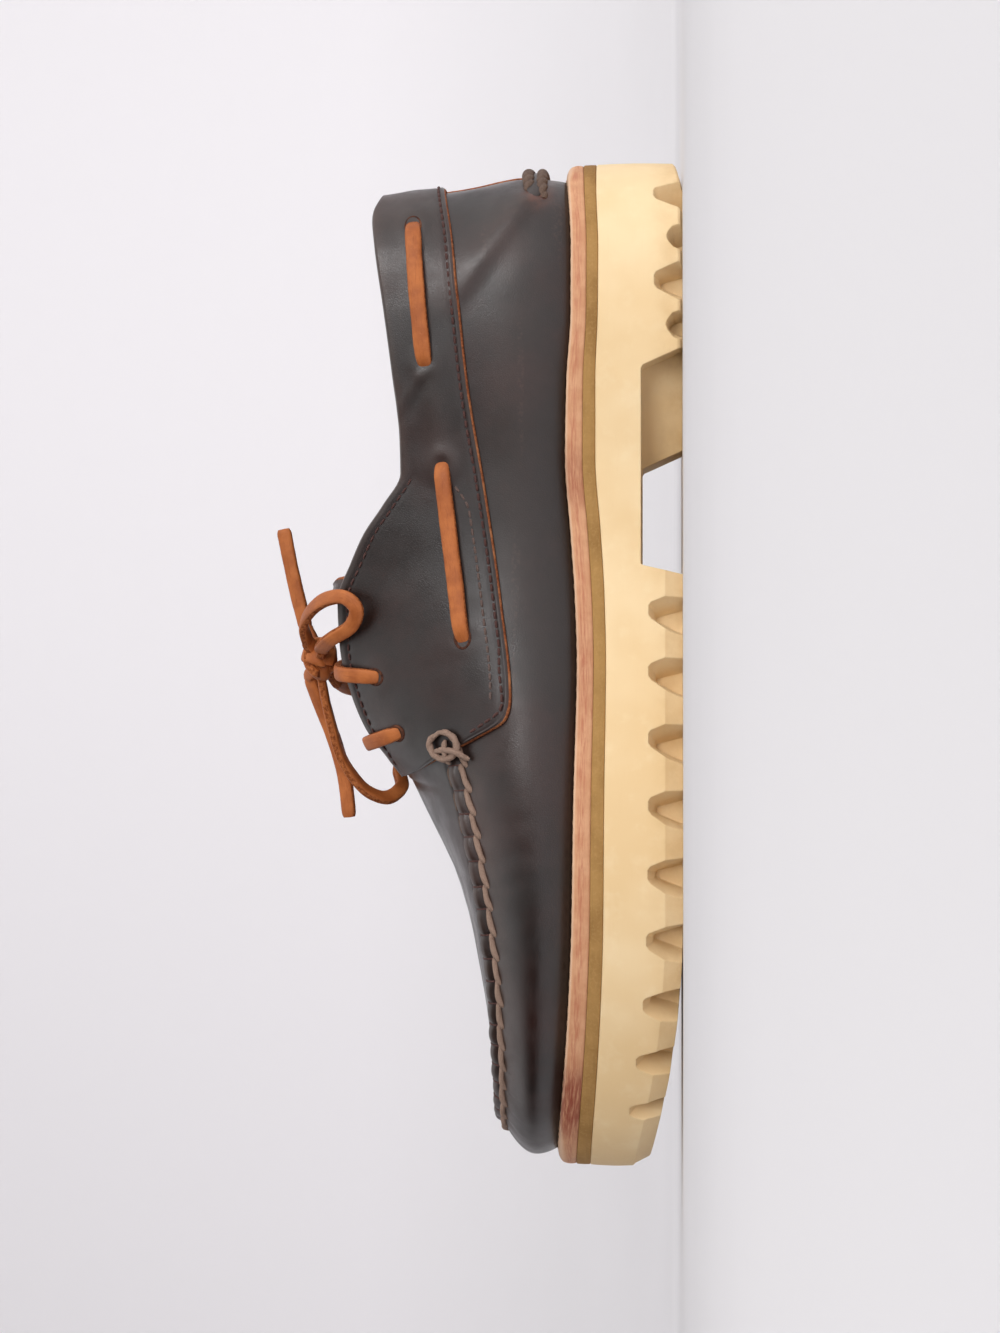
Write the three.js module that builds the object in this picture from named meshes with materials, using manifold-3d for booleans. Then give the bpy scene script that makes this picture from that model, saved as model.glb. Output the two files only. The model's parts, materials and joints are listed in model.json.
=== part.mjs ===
// Left boat shoe: a hand-sewn moccasin upper with a laced collar, on a welted lug sole.
// Millimetres. The toe points to -Y, the heel to +Y, the outer (lateral) side to +X, up is +Z,
// and the shoe stands on the floor at z = 0. A "station" is the distance forward from the back of the heel.
import * as THREE from "three";
import { mergeVertices } from "three/addons/utils/BufferGeometryUtils.js";
import Module from "manifold-3d";

const LENGTH = 300; // overall length of the sole
const GAP = 0.3; // clearance between neighbouring pieces
const WALL = 2.0; // upper leather
const SADDLE = 1.6; // collar saddle leather
const FEATHER_IN = 5.6; // sole edge to the foot of the upper wall
const RIDGE = 1.5; // height of the puckered ridge along the moccasin seam
const LACE = 4.2; // rawhide lace
const COLUMNS_REAR = 20, COLUMNS_FRONT = 20; // half-outline steps behind and in front of the throat

const table = (names, data) => data.map((row) => Object.fromEntries(names.split(" ").map((key, i) => [key, row[i]])));

// Plan outline of the sole: half outlines on the outer and the inner side of the foot.
const OUTLINE = table("station outer inner", [
  [0, 0.5, 0.5], [4, 18, -17.5], [12, 28.5, -28], [26, 36, -35.5], [46, 39.3, -38.8], [68, 39.6, -38.2],
  [92, 38.8, -35.4], [116, 40.3, -34.6], [140, 44.6, -37.6], [165, 50, -43.5], [188, 53.8, -49.4], [208, 54.6, -53],
  [228, 52.8, -54.4], [247, 48.4, -53.2], [263, 41.6, -50], [277, 33, -44.6], [288, 23, -37], [295.4, 11.5, -27.6], [300, -8, -8],
]);
// Heights of the sole layers and of the underside, measured from the floor.
const STACK = table("station under cream welt", [
  [0, 1.6, 25.2, 34.4], [10, 0, 25, 33.2], [30, 0, 24.2, 32.2], [48, 0, 24.3, 32.2], [68, 0, 25, 33.4], [90, 0, 25, 33.8],
  [112, 0, 23.4, 32.2], [130, 0, 22.3, 30.9], [150, 0, 21.8, 30.2], [188, 0, 22.2, 31], [225, 0, 22.5, 31.6],
  [245, 0.9, 23.2, 32.5], [268, 3.6, 24.6, 34.1], [288, 7.4, 26.3, 36], [300, 9.8, 27.4, 37.2],
]);
// Cross-section of the upper, a row per station: how far the wall bulges out and where, then the seam line
// (in from the foot of the wall, and its height from the floor), then how high the next third crowns.
const WALLS = table("station bulge wide in seam crown", [
  [0, 1.2, 12, 2, 64, 0.52], [15, 1.6, 13, 1.4, 63, 0.52], [45, 2, 14, -0.8, 61, 0.5], [85, 2.5, 14, -1.2, 60, 0.5],
  [115, 2.5, 14, -0.5, 62, 0.52], [135, 2.5, 13, 1.4, 66, 0.55], [155, 2.8, 12, 5, 68, 0.58], [172, 3, 11, 8.5, 66.6, 0.62],
  [185, 3, 10, 9.5, 64.2, 0.68], [205, 3, 9.5, 8.8, 60, 0.72], [230, 3, 9, 8.3, 56.3, 0.74], [255, 3, 8.5, 8.5, 54.4, 0.74],
  [280, 2.8, 8, 9, 54, 0.72], [300, 2.2, 7, 9.5, 54.2, 0.72],
]);
// Top edge of the upper, heel to throat: its plan, its height, and the sole station that each section rises from.
const COLLAR = table("station outer inner height base", [
  [11, 0, 0, 88, 0], [13.2, 13, -13, 88.8, 5], [19, 22, -22, 90, 13], [28, 27.6, -27.4, 88.9, 26], [45, 30.6, -30, 86.2, 45],
  [65, 31.5, -30, 83.4, 65], [84, 31, -29, 81.2, 84], [94, 30.5, -28.2, 81, 94], [103.5, 29.4, -27.2, 86.4, 103.5],
  [112, 28, -26, 92.2, 112], [120, 26, -24.6, 95.9, 120], [131, 23.4, -22.6, 99.9, 131], [145, 21, -21, 99.2, 145],
  [157, 19.6, -20, 96.2, 157], [167, 18, -19, 92.1, 166.5], [176, 15.4, -17, 85.6, 174], [181.5, 9.5, -11.5, 81.8, 180], [183.5, -1, -1, 81, 186],
]);
// Ridge line of the instep and apron, in front of the throat.
const SPINE = table("station across height base", [
  [183.5, -1, 81, 186], [197, -1.5, 74.4, 199], [210, -2.5, 68.2, 212], [224, -3.5, 63.6, 228], [236, -4.5, 60.8, 247],
  [246, -5.2, 58.8, 265], [253, -6, 57.7, 283], [258, -6.6, 57, 300],
]);
// Lower edge of the collar saddle.
const SADDLE_LOW = table("station height", [
  [8, 70.4], [24, 67.2], [40, 65.2], [70, 61.8], [100, 56.8], [131, 52.2], [160, 49], [165, 50], [171.5, 59.6], [176, 68.5], [180.5, 77.5], [182.5, 84],
]);
// Tongue, root to tip: middle height, half width, how far the sides hang, how far back they lie.
const TONGUE = table("station height half drop back", [
  [206, 65.6, 17, 3, 0], [196, 70.6, 18, 4, 0], [185, 76.8, 19, 5.5, 0], [172, 84, 19.8, 7, 0], [160, 89.4, 20.4, 8, 1],
  [148, 94, 20.6, 8.5, 2], [137, 99.4, 20.6, 8.5, 4], [130, 104.4, 20.4, 8.5, 5], [125.5, 107, 19, 8, 6],
]);
// Perimeter lug notches: station, depth above the floor, half width at the floor.
const NOTCHES = table("station apex half", [
  [12.5, 8.4, 5], [26, 4.6, 3.4], [39, 8.2, 5], [52, 4.8, 3.6], [135.5, 9.8, 6], [153, 9.8, 6], [172, 9.8, 6], [191, 9.8, 6],
  [210.5, 10, 6], [229.5, 10.4, 6], [248, 11.4, 5.8], [265, 13.4, 5.6], [280, 15.4, 5],
]);

// ---- interpolation -------------------------------------------------------------------------------
// Monotone cubic through a table's columns.
function curve(rows, from, to) {
  const x = rows.map((r) => (typeof from === "string" ? r[from] : from(r))), y = rows.map((r) => r[to]), n = x.length;
  const h = [], s = [], m = [];
  for (let i = 0; i < n - 1; i++) { h.push(x[i + 1] - x[i]); s.push((y[i + 1] - y[i]) / h[i]); }
  for (let i = 0; i < n; i++) {
    if (i === 0 || i === n - 1) m.push(s[i ? n - 2 : 0]);
    else m.push(s[i - 1] * s[i] <= 0 ? 0 : (3 * (h[i - 1] + h[i])) / ((2 * h[i] + h[i - 1]) / s[i - 1] + (h[i] + 2 * h[i - 1]) / s[i]));
  }
  return (v) => {
    const q = Math.min(Math.max(v, x[0]), x[n - 1]);
    let i = 0;
    while (i < n - 2 && q > x[i + 1]) i++;
    return hermite(y[i], y[i + 1], m[i] * h[i], m[i + 1] * h[i], (q - x[i]) / h[i]);
  };
}
const hermite = (a, b, ma, mb, t) => a * (2 * t ** 3 - 3 * t * t + 1) + ma * (t ** 3 - 2 * t * t + t) + b * (3 * t * t - 2 * t ** 3) + mb * (t ** 3 - t * t);
const mix = (a, b, t) => a + (b - a) * t;
const smooth = (a, b, v) => { const t = Math.min(Math.max((v - a) / (b - a), 0), 1); return t * t * (3 - 2 * t); };

// A closed plan curve through a table of half outlines. u runs 0..1 along the outer side from heel to toe, and 0..-1 along the inner side.
function loop(rows) {
  const n = rows.length, knots = [0];
  for (let i = 1; i < n; i++) {
    const a = rows[i - 1], b = rows[i], d = b.station - a.station;
    knots.push(knots[i - 1] + 0.5 * (Math.hypot(d, b.outer - a.outer) + Math.hypot(d, b.inner - a.inner)));
  }
  const total = knots[n - 1], t = knots.map((k) => k / total);
  const side = (key, other) => {
    const at = (i) => (i < 0 ? [-t[1], rows[1].station, rows[1][other]] : i >= n ? [2 - t[n - 2], rows[n - 2].station, rows[n - 2][other]] : [t[i], rows[i].station, rows[i][key]]);
    const slope = (i, c) => {
      const a = at(i - 1), b = at(i), e = at(i + 1), h0 = b[0] - a[0], h1 = e[0] - b[0];
      return (((e[c] - b[c]) / h1) * h0 + ((b[c] - a[c]) / h0) * h1) / (h0 + h1);
    };
    return (q) => {
      let i = 0;
      while (i < n - 2 && q > t[i + 1]) i++;
      const h = t[i + 1] - t[i], f = (q - t[i]) / h, a = at(i), b = at(i + 1);
      return [1, 2].map((c) => hermite(a[c], b[c], slope(i, c) * h, slope(i + 1, c) * h, f));
    };
  };
  const outer = side("outer", "inner"), inner = side("inner", "outer");
  const point = (u) => { const v = u > 1 ? u - 2 : u < -1 ? u + 2 : u; return v >= 0 ? outer(v) : inner(-v); };
  return {
    // plan point moved inwards by `inset`
    at(u, inset = 0) {
      const p = point(u);
      if (!inset) return p;
      const a = point(u - 1e-4), b = point(u + 1e-4), l = Math.hypot(b[0] - a[0], b[1] - a[1]);
      return [p[0] + ((b[1] - a[1]) / l) * inset, p[1] - ((b[0] - a[0]) / l) * inset];
    },
    // the u (outer side) of a station
    where(station) {
      let lo = 0, hi = 1;
      for (let k = 0; k < 40; k++) { const mid = (lo + hi) / 2; outer(mid)[0] < station ? (lo = mid) : (hi = mid); }
      return (lo + hi) / 2;
    },
    knots: t,
  };
}
const sole = loop(OUTLINE), collar = loop(COLLAR);
const under = curve(STACK, "station", "under"), cream = curve(STACK, "station", "cream"), welt = curve(STACK, "station", "welt");
const khaki = (d) => mix(cream(d), welt(d), 0.47);
const wall = Object.fromEntries(["bulge", "wide", "in", "seam", "crown"].map((k) => [k, curve(WALLS, "station", k)]));

// ---- the last: one function for the whole outer face of the upper ----------------------------------
// u goes round the shoe, w climbs from the foot of the wall (0) over the seam line (0.5) to the top edge or the instep ridge (1).
const base = (row) => (row.base <= 0 ? 0 : row.base >= LENGTH ? 1 : sole.where(row.base));
const THROAT = base(COLLAR.at(-1));
const collarT = collar.knots.map((t, i) => ({ from: base(COLLAR[i]), to: t }));
const collarAt = curve(collarT, "from", "to"), collarZ = curve(collar.knots.map((t, i) => ({ t, height: COLLAR[i].height })), "t", "height");
const spine = Object.fromEntries(["station", "across", "height"].map((k) => [k, curve(SPINE.map((r) => ({ ...r, base: base(r) })), "base", k)]));
const LEVELS = [0, 0.2, 0.5, 0.75, 1];
function reach(u) {
  const t = Math.abs(u), foot = sole.at(u, FEATHER_IN);
  let top, height;
  if (t < THROAT) { const c = collarAt(t); top = collar.at(u < 0 ? -c : c); height = collarZ(c); }
  else { top = [spine.station(t), spine.across(t)]; height = spine.height(t); }
  return { foot, top, height, run: Math.hypot(top[0] - foot[0], top[1] - foot[1]) };
}
function profile(u) {
  const { foot, top, height, run } = reach(u), d = sole.at(u)[0], dir = [(top[0] - foot[0]) / run, (top[1] - foot[1]) / run];
  // the inner side is narrower at the waist, so its wall leans in less
  const lean = wall.in(d) > 0 ? Math.min(1, run / reach(Math.abs(u)).run) : 1;
  const z0 = welt(foot[0]) + GAP, seam = wall.seam(d), into = wall.in(d) * lean;
  const o = [0, -wall.bulge(d), into, mix(into, run, 0.5), run], z = [z0, z0 + wall.wide(d), seam, mix(seam, height, wall.crown(d)), height];
  const h = [0, 1, 2, 3].map((i) => Math.hypot(o[i + 1] - o[i], z[i + 1] - z[i]));
  const slope = (v, i) => {
    const s = (k) => (v[k + 1] - v[k]) / h[k];
    if (i === 0) return s(0) + ((s(0) - s(1)) * h[0]) / (h[0] + h[1]);
    if (i === 4) return s(3) + ((s(3) - s(2)) * h[3]) / (h[2] + h[3]);
    return (s(i) * h[i - 1] + s(i - 1) * h[i]) / (h[i] + h[i - 1]);
  };
  const mo = o.map((_, i) => slope(o, i)), mz = z.map((_, i) => slope(z, i)), flat = smooth(THROAT - 0.05, THROAT + 0.04, Math.abs(u));
  mo[4] = mix(mo[4], 1, flat); mz[4] = mix(mz[4], 0, flat);
  return (w) => {
    let i = 0;
    while (i < 3 && w > LEVELS[i + 1]) i++;
    const f = (w - LEVELS[i]) / (LEVELS[i + 1] - LEVELS[i]);
    const a = hermite(o[i], o[i + 1], mo[i] * h[i], mo[i + 1] * h[i], f), b = hermite(z[i], z[i + 1], mz[i] * h[i], mz[i + 1] * h[i], f);
    return [foot[1] + dir[1] * a, LENGTH / 2 - (foot[0] + dir[0] * a), b];
  };
}
const vec = (a) => new THREE.Vector3(...a);
function normalAt(u, w) {
  const e = 1e-3, lo = Math.max(w - e, 0), hi = Math.min(w + e, 1), p = profile(u);
  const along = vec(profile(u + e)(w)).sub(vec(profile(u - e)(w))), up = vec(p(hi)).sub(vec(p(lo)));
  return along.cross(up).normalize().negate();
}
// A point of the upper's outer face, moved out by `off`; ridge adds the puckered seam.
function last(u, w, off = 0, ridge = 0) {
  const on = Math.abs(u) >= THROAT && w > 0.999;
  const n = normalAt(u, w);
  if (on) n.add(normalAt(-u, w)).normalize();
  const bump = ridge * Math.exp(-(((w - 0.5) / 0.035) ** 2)) * smooth(THROAT - 0.045, THROAT - 0.01, Math.abs(u));
  return vec(profile(on ? Math.abs(u) : u)(w)).addScaledVector(n, off + bump);
}
// u and w on the outer side for a station and a height.
function locate(station, height) {
  let best = [0, 0, Infinity], span = [0.5, 0.5], centre = [0.5, 0.5];
  for (let pass = 0; pass < 6; pass++) {
    for (let i = -12; i <= 12; i++)
      for (let k = -12; k <= 12; k++) {
        const u = Math.min(Math.max(centre[0] + (span[0] * i) / 12, 0), 1), w = Math.min(Math.max(centre[1] + (span[1] * k) / 12, 0), 1);
        const p = profile(u)(w), e = (LENGTH / 2 - p[1] - station) ** 2 + (p[2] - height) ** 2;
        if (e < best[2]) best = [u, w, e];
      }
    centre = [best[0], best[1]];
    span = span.map((s) => s / 6);
  }
  return best;
}

// ---- mesh helpers -----------------------------------------------------------------------------------
function geometry(points, faces) {
  const g = new THREE.BufferGeometry();
  g.setAttribute("position", new THREE.Float32BufferAttribute(points.flatMap((p) => (p.isVector3 ? p.toArray() : p)), 3));
  g.setIndex(faces.flat());
  const m = mergeVertices(g, 1e-3), p = m.attributes.position, idx = m.index.array, keep = [];
  let volume = 0;
  for (let i = 0; i < idx.length; i += 3) {
    const [a, b, c] = [idx[i], idx[i + 1], idx[i + 2]];
    if (a === b || b === c || c === a) continue;
    keep.push(a, b, c);
    const A = new THREE.Vector3().fromBufferAttribute(p, a), B = new THREE.Vector3().fromBufferAttribute(p, b), C = new THREE.Vector3().fromBufferAttribute(p, c);
    volume += A.dot(B.cross(C));
  }
  if (volume < 0) for (let i = 0; i < keep.length; i += 3) [keep[i + 1], keep[i + 2]] = [keep[i + 2], keep[i + 1]];
  m.setIndex(keep);
  return m;
}
const ringUs = (n) => [...Array(2 * n).keys()].map((j) => (j <= n ? j / n : (j - 2 * n) / n));
// Solid between stacked closed rings; each ring is u -> [station, across, height].
function stack(rings, n) {
  const us = ringUs(n), points = [], faces = [], N = 2 * n;
  for (const ring of rings) for (const u of us) { const [d, x, z] = ring(u); points.push([x, LENGTH / 2 - d, z]); }
  for (let r = 0; r + 1 < rings.length; r++)
    for (let j = 0; j < N; j++) { const a = r * N + j, b = r * N + ((j + 1) % N); faces.push([a, b, b + N], [a, b + N, a + N]); }
  const cap = (o, flip) => {
    for (let j = 0; j < n; j++) {
      const q = [j, j + 1, (N - j - 1) % N, (N - j) % N].map((k) => k + o);
      const tris = [[q[0], q[1], q[2]], [q[0], q[2], q[3]]];
      for (const [a, b, c] of tris) faces.push(flip ? [a, c, b] : [a, b, c]);
    }
  };
  cap(0, true); cap((rings.length - 1) * N, false);
  return geometry(points, faces);
}
const ringAt = (inset, z) => (u) => { const [d, x] = sole.at(u, inset); return [d, x, z(d, u)]; };
// Sheet between two grids of points [column][row]: closed all round, or round the shoe when `round`.
function sheet(outside, inside, round = false, seamed = () => false) {
  const cols = outside.length, rows = outside[0].length, points = [...outside.flat(), ...inside.flat()], off = cols * rows, faces = [];
  const quad = (a, b, c, d) => faces.push([a, b, c], [a, c, d]);
  const last = round ? cols : cols - 1;
  for (let j = 0; j < last; j++) {
    const k = (j + 1) % cols;
    for (let i = 0; i < rows - 1; i++) {
      quad(j * rows + i, k * rows + i, k * rows + i + 1, j * rows + i + 1);
      quad(off + j * rows + i, off + j * rows + i + 1, off + k * rows + i + 1, off + k * rows + i);
    }
    quad(off + j * rows, off + k * rows, k * rows, j * rows);
    if (!seamed(j)) quad(j * rows + rows - 1, k * rows + rows - 1, off + k * rows + rows - 1, off + j * rows + rows - 1);
  }
  if (!round)
    for (let i = 0; i < rows - 1; i++) {
      quad(i, i + 1, off + i + 1, off + i);
      const e = (cols - 1) * rows;
      quad(off + e + i, off + e + i + 1, e + i + 1, e + i);
    }
  return geometry(points, faces);
}
// Prism between two polygons in plan ([station, across] rows) at two heights.
function prism(low, zLow, high, zHigh) {
  if (THREE.ShapeUtils.area(low.map(([d, x]) => new THREE.Vector2(d, x))) < 0) { low = [...low].reverse(); high = [...high].reverse(); }
  const n = low.length, points = [...low.map(([d, x]) => [x, LENGTH / 2 - d, zLow]), ...high.map(([d, x]) => [x, LENGTH / 2 - d, zHigh])], faces = [];
  for (let i = 0; i < n; i++) { const k = (i + 1) % n; faces.push([i, k, k + n], [i, k + n, i + n]); }
  for (const [a, b, c] of THREE.ShapeUtils.triangulateShape(low.map(([d, x]) => new THREE.Vector2(d, x)), [])) { faces.push([c, b, a], [a + n, b + n, c + n]); }
  return geometry(points, faces);
}
const wasm = await Module();
wasm.setup();
const solid = (g) => new wasm.Manifold(new wasm.Mesh({ numProp: 3, vertProperties: g.attributes.position.array, triVerts: new Uint32Array(g.index.array) }));
function fromSolid(s) {
  const m = s.getMesh(), g = new THREE.BufferGeometry(), v = new Float32Array(m.numVert * 3);
  for (let i = 0; i < m.numVert; i++) v.set(m.vertProperties.subarray(i * m.numProp, i * m.numProp + 3), i * 3);
  return g.setAttribute("position", new THREE.BufferAttribute(v, 3)).setIndex(new THREE.BufferAttribute(m.triVerts, 1));
}
// Round cord along points, flat cut at both ends.
function cord(points, diameter, sides = 8, pitch = 5) {
  const path = new THREE.CatmullRomCurve3(points.map(vec), false, "centripetal");
  const section = new THREE.Shape([...Array(sides).keys()].map((i) => new THREE.Vector2(Math.cos((2 * Math.PI * i) / sides), Math.sin((2 * Math.PI * i) / sides)).multiplyScalar(diameter / 2)));
  const g = new THREE.ExtrudeGeometry(section, { steps: Math.max(4, Math.round(path.getLength() / pitch)), bevelEnabled: false, extrudePath: path });
  const raw = g.attributes.position.array;
  return geometry([...Array(raw.length / 3).keys()].map((i) => [raw[3 * i], raw[3 * i + 1], raw[3 * i + 2]]), [...Array(raw.length / 9).keys()].map((i) => [3 * i, 3 * i + 1, 3 * i + 2]));
}

// ---- sole -------------------------------------------------------------------------------------------
const HEEL_END = 64, WAIST_END = 121; // the heel block stops and the forefoot tread starts
const chamfer = (d) => mix(1.4, 5, smooth(50, 125, d)); // bevel along the foot of the side wall
let outsole = solid(stack([
  ringAt(3.2, (d) => under(d)), ringAt(0.2, (d) => under(d) + chamfer(d)), ringAt(0, (d) => mix(under(d), cream(d), 0.5)), ringAt(0.4, cream),
], 30));
// V notches between the perimeter lugs, square to the edge
for (const { station, apex, half } of NOTCHES)
  for (const sign of [1, -1]) {
    const u = sole.where(station) * sign, out = sole.at(u, -6), inn = sole.at(u, 11), l = Math.hypot(inn[0] - out[0], inn[1] - out[1]);
    const a = [(inn[0] - out[0]) / l, (inn[1] - out[1]) / l], side = [-a[1], a[0]];
    const knee = 5 + under(station), rim = [[-half - 0.6, -1], [-half * 0.55, knee], [-1, apex], [1, apex], [half * 0.55, knee], [half + 0.6, -1]];
    const row = (p, shrink) => rim.map(([s, z]) => [p[1] + side[1] * s * shrink, LENGTH / 2 - (p[0] + side[0] * s * shrink), z]);
    const points = [...row(out, 1), ...row(inn, 0.55)], faces = [];
    for (let i = 0; i < 6; i++) { const k = (i + 1) % 6; faces.push([i, k, k + 6], [i, k + 6, i + 6]); }
    for (let i = 1; i < 5; i++) faces.push([0, i + 1, i], [6, 6 + i, 6 + i + 1]);
    outsole = outsole.subtract(solid(geometry(points, faces)));
  }
// waist: open arch between the sloped heel breast and the forefoot, over the recessed shank
const waist = (slope) => [[HEEL_END - slope, 62], [HEEL_END - slope, 24], [92 - slope, 13], [92 - slope, -13], [HEEL_END - slope, -24], [HEEL_END - slope, -62], [WAIST_END + slope * 0.5, -62], [WAIST_END + slope * 0.5, 62]];
outsole = outsole.subtract(solid(prism(waist(6), -1, waist(0), 12)));
const shankSlot = (s) => [[96 - s, 15 + s], [96 - s, -15 - s], [117 + s, -13 - s], [117 + s, 13 + s]];
outsole = outsole.subtract(solid(prism(shankSlot(1.5), 10, shankSlot(0), 14)));
// field of the forefoot and heel treads, sunk between the perimeter lugs
const field = (from, to, inset) => {
  const us = [...Array(9).keys()].map((i) => mix(sole.where(from), sole.where(to), i / 8));
  return [...us.map((u) => sole.at(u, inset)), ...us.reverse().map((u) => sole.at(-u, inset))];
};
outsole = outsole.subtract(solid(prism(field(130, 268, 14), -1, field(132, 266, 16), 6)));
outsole = outsole.subtract(solid(prism(field(20, 56, 13), -1, field(21, 55, 14), 5)));
// star lugs down the middle of each field
const star = (d, x, r, turn = 0) => [...Array(8).keys()].map((i) => { const a = (i * Math.PI) / 4 + turn, q = i % 2 ? r * 0.55 : r; return [d + q * Math.cos(a), x + q * Math.sin(a)]; });
const STARS = table("station across radius", [
  [145, 2, 9.5], [163, -10, 9], [163, 15, 9], [182, 2, 10], [200, -15, 9.5], [200, 17, 9.5], [219, 0, 10], [236, -16, 8.5], [236, 13, 8.5], [252, -5, 8.5], [38, 8, 8.5], [38, -10, 8.5],
]);
for (const { station, across, radius } of STARS) {
  const foot = under(station + 6) * 0.6 + under(station - 6) * 0.4;
  outsole = outsole.add(solid(prism(star(station, across, radius - 1.6), foot, star(station, across, radius), 7.5)));
}
const outsoleG = fromSolid(outsole);
const midsoleG = stack([ringAt(0.5, (d) => cream(d) + GAP), ringAt(0.6, khaki)], 30);
const weltG = stack([ringAt(0.7, (d) => khaki(d) + GAP), ringAt(0.7, (d) => mix(khaki(d), welt(d), 0.85)), ringAt(1.4, welt)], 30);
const INSOLE_IN = FEATHER_IN + WALL + 0.9;
const insoleG = stack([ringAt(INSOLE_IN + 0.6, (d) => welt(d) + GAP), ringAt(INSOLE_IN, (d) => welt(d) + 2.2), ringAt(INSOLE_IN + 0.8, (d) => welt(d) + 3)], 26);

// ---- upper ------------------------------------------------------------------------------------------
const half = [...[...Array(COLUMNS_REAR).keys()].map((i) => (THROAT * i) / COLUMNS_REAR), ...[...Array(COLUMNS_FRONT + 1).keys()].map((i) => mix(THROAT, 1, i / COLUMNS_FRONT))];
// closer columns where the collar dips and round the front of the throat
const around = [...half, ...half.slice(1, -1).reverse().map((u) => -u)];
const RISE = [0, 0.12, 0.24, 0.36, 0.45, 0.5, 0.55, 0.66, 0.78, 0.9, 1];
const shell = (off, ridge) => around.map((u) => RISE.map((w) => last(u, w, off, ridge)));
const throatStep = COLUMNS_REAR, all = around.length;
const upperG = sheet(shell(0, RIDGE), shell(-WALL, 0), true, (j) => j >= throatStep && j < all - throatStep);

// collar saddle: a second leather lying on the upper, cut from a larger form along its raw lower edge
const lowEdge = curve(SADDLE_LOW, "station", "height");
const skirt = (() => {
  const stations = [...Array(60).keys()].map((i) => mix(8, 182.5, i / 59)), rim = [[-20, 0], [-20, lowEdge(8)], ...stations.map((d) => [d, lowEdge(d)]), [320, 84], [320, 0]];
  const points = [-90, 90].flatMap((x) => rim.map(([d, z]) => [x, LENGTH / 2 - d, z])), n = rim.length, faces = [];
  for (let i = 0; i < n; i++) { const k = (i + 1) % n; faces.push([i, k, k + n], [i, k + n, i + n]); }
  const up = THREE.ShapeUtils.area(rim.map(([d, z]) => new THREE.Vector2(d, z))) > 0;
  for (const [a, b, c] of THREE.ShapeUtils.triangulateShape(rim.map(([d, z]) => new THREE.Vector2(d, z)), []))
    faces.push(...(up ? [[c, b, a], [a + n, b + n, c + n]] : [[a, b, c], [c + n, b + n, a + n]]));
  return geometry(points, faces);
})();
const seamed = (j) => j >= throatStep && j < all - throatStep;
const saddleG = fromSolid(solid(sheet(shell(GAP + SADDLE, RIDGE), shell(GAP, RIDGE), true, seamed)).subtract(solid(skirt)));

// tongue: an arched leather flap rising out of the throat behind the bow
const tongueGrid = (off) => TONGUE.map(({ station, height, half: w, drop, back }, i) => {
  const a = TONGUE[Math.max(i - 1, 0)], b = TONGUE[Math.min(i + 1, TONGUE.length - 1)], l = Math.hypot(b.station - a.station, b.height - a.height);
  const nd = (b.height - a.height) / l, nz = (a.station - b.station) / l;
  return [-1, -0.75, -0.5, -0.25, 0, 0.25, 0.5, 0.75, 1].map((s) => [s * w - 0.5, LENGTH / 2 - (station - back * s * s + nd * off), height - drop * s * s + nz * off]);
});
const tongueG = sheet(tongueGrid(0), tongueGrid(-WALL));

// ---- laces ------------------------------------------------------------------------------------------
const LIE = GAP + SADDLE + GAP + LACE / 2 + 0.15; // lace centre above the upper when it lies on the saddle
const onFace = (station, height, side, off = LIE) => { const [u, w] = locate(station, height); return last(u * side, w, off).toArray(); };
const WINDOWS = table("name from fromZ to toZ", [["rear", 22.5, 78.3, 62.6, 74.2], ["front", 92, 69.2, 142.2, 62.6]]);
const EYELETS = table("station height", [[153, 88.4], [169, 81.8]]);
const edge = (station, side, off = LIE + 0.4) => { const u = collarFor(station) * side; return last(u, 0.995, off).toArray(); };
const collarFor = (station) => { let lo = 0, hi = THROAT; for (let k = 0; k < 40; k++) { const m = (lo + hi) / 2; LENGTH / 2 - profile(m)(1)[1] < station ? (lo = m) : (hi = m); } return lo; };
const at = (station, across, height) => [across, LENGTH / 2 - station, height];
const crossing = (eyelet, edgeStation, mid) => cord([
  onFace(eyelet.station, eyelet.height, 1), edge(edgeStation, 1), mid, edge(edgeStation, -1), onFace(eyelet.station, eyelet.height, -1),
], LACE, 8, 4);
const ROUTES = {
  lace_loop_outer: [[142.6, 7.8, 111.5], [138, 14, 112], [133.6, 21, 109], [130.4, 28, 103.5], [130.2, 32, 97.8], [133.5, 32.6, 94.6], [138.2, 30, 96.2], [142, 25.8, 102.4], [144.3, 18, 106], [145.2, 9.8, 107]],
  lace_loop_inner: [[153.6, -1.5, 108.4], [161, -1.6, 107], [169, -2, 105], [176, -2.6, 103], [182, -3.6, 99.8], [187.6, -5, 94.8], [189.6, -8, 89.2], [186.5, -13, 85.2], [181.8, -18.5, 86.2], [176.9, -26.2, 85], [170, -34.8, 80.4], [163.5, -34, 84.8], [158.6, -28.8, 93.8], [156.4, -20.4, 102], [154.4, -10.5, 104.6]],
  lace_end_rear: [[138.6, -1, 113], [128.4, -1.5, 115.7], [118.4, -2, 118], [108.6, -2.5, 120]],
  lace_end_front: [[153.4, -6.2, 112.4], [162, -8.4, 109.4], [172, -9.4, 105.4], [184, -9.8, 102.2], [195.6, -10, 100.8]],
};

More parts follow.
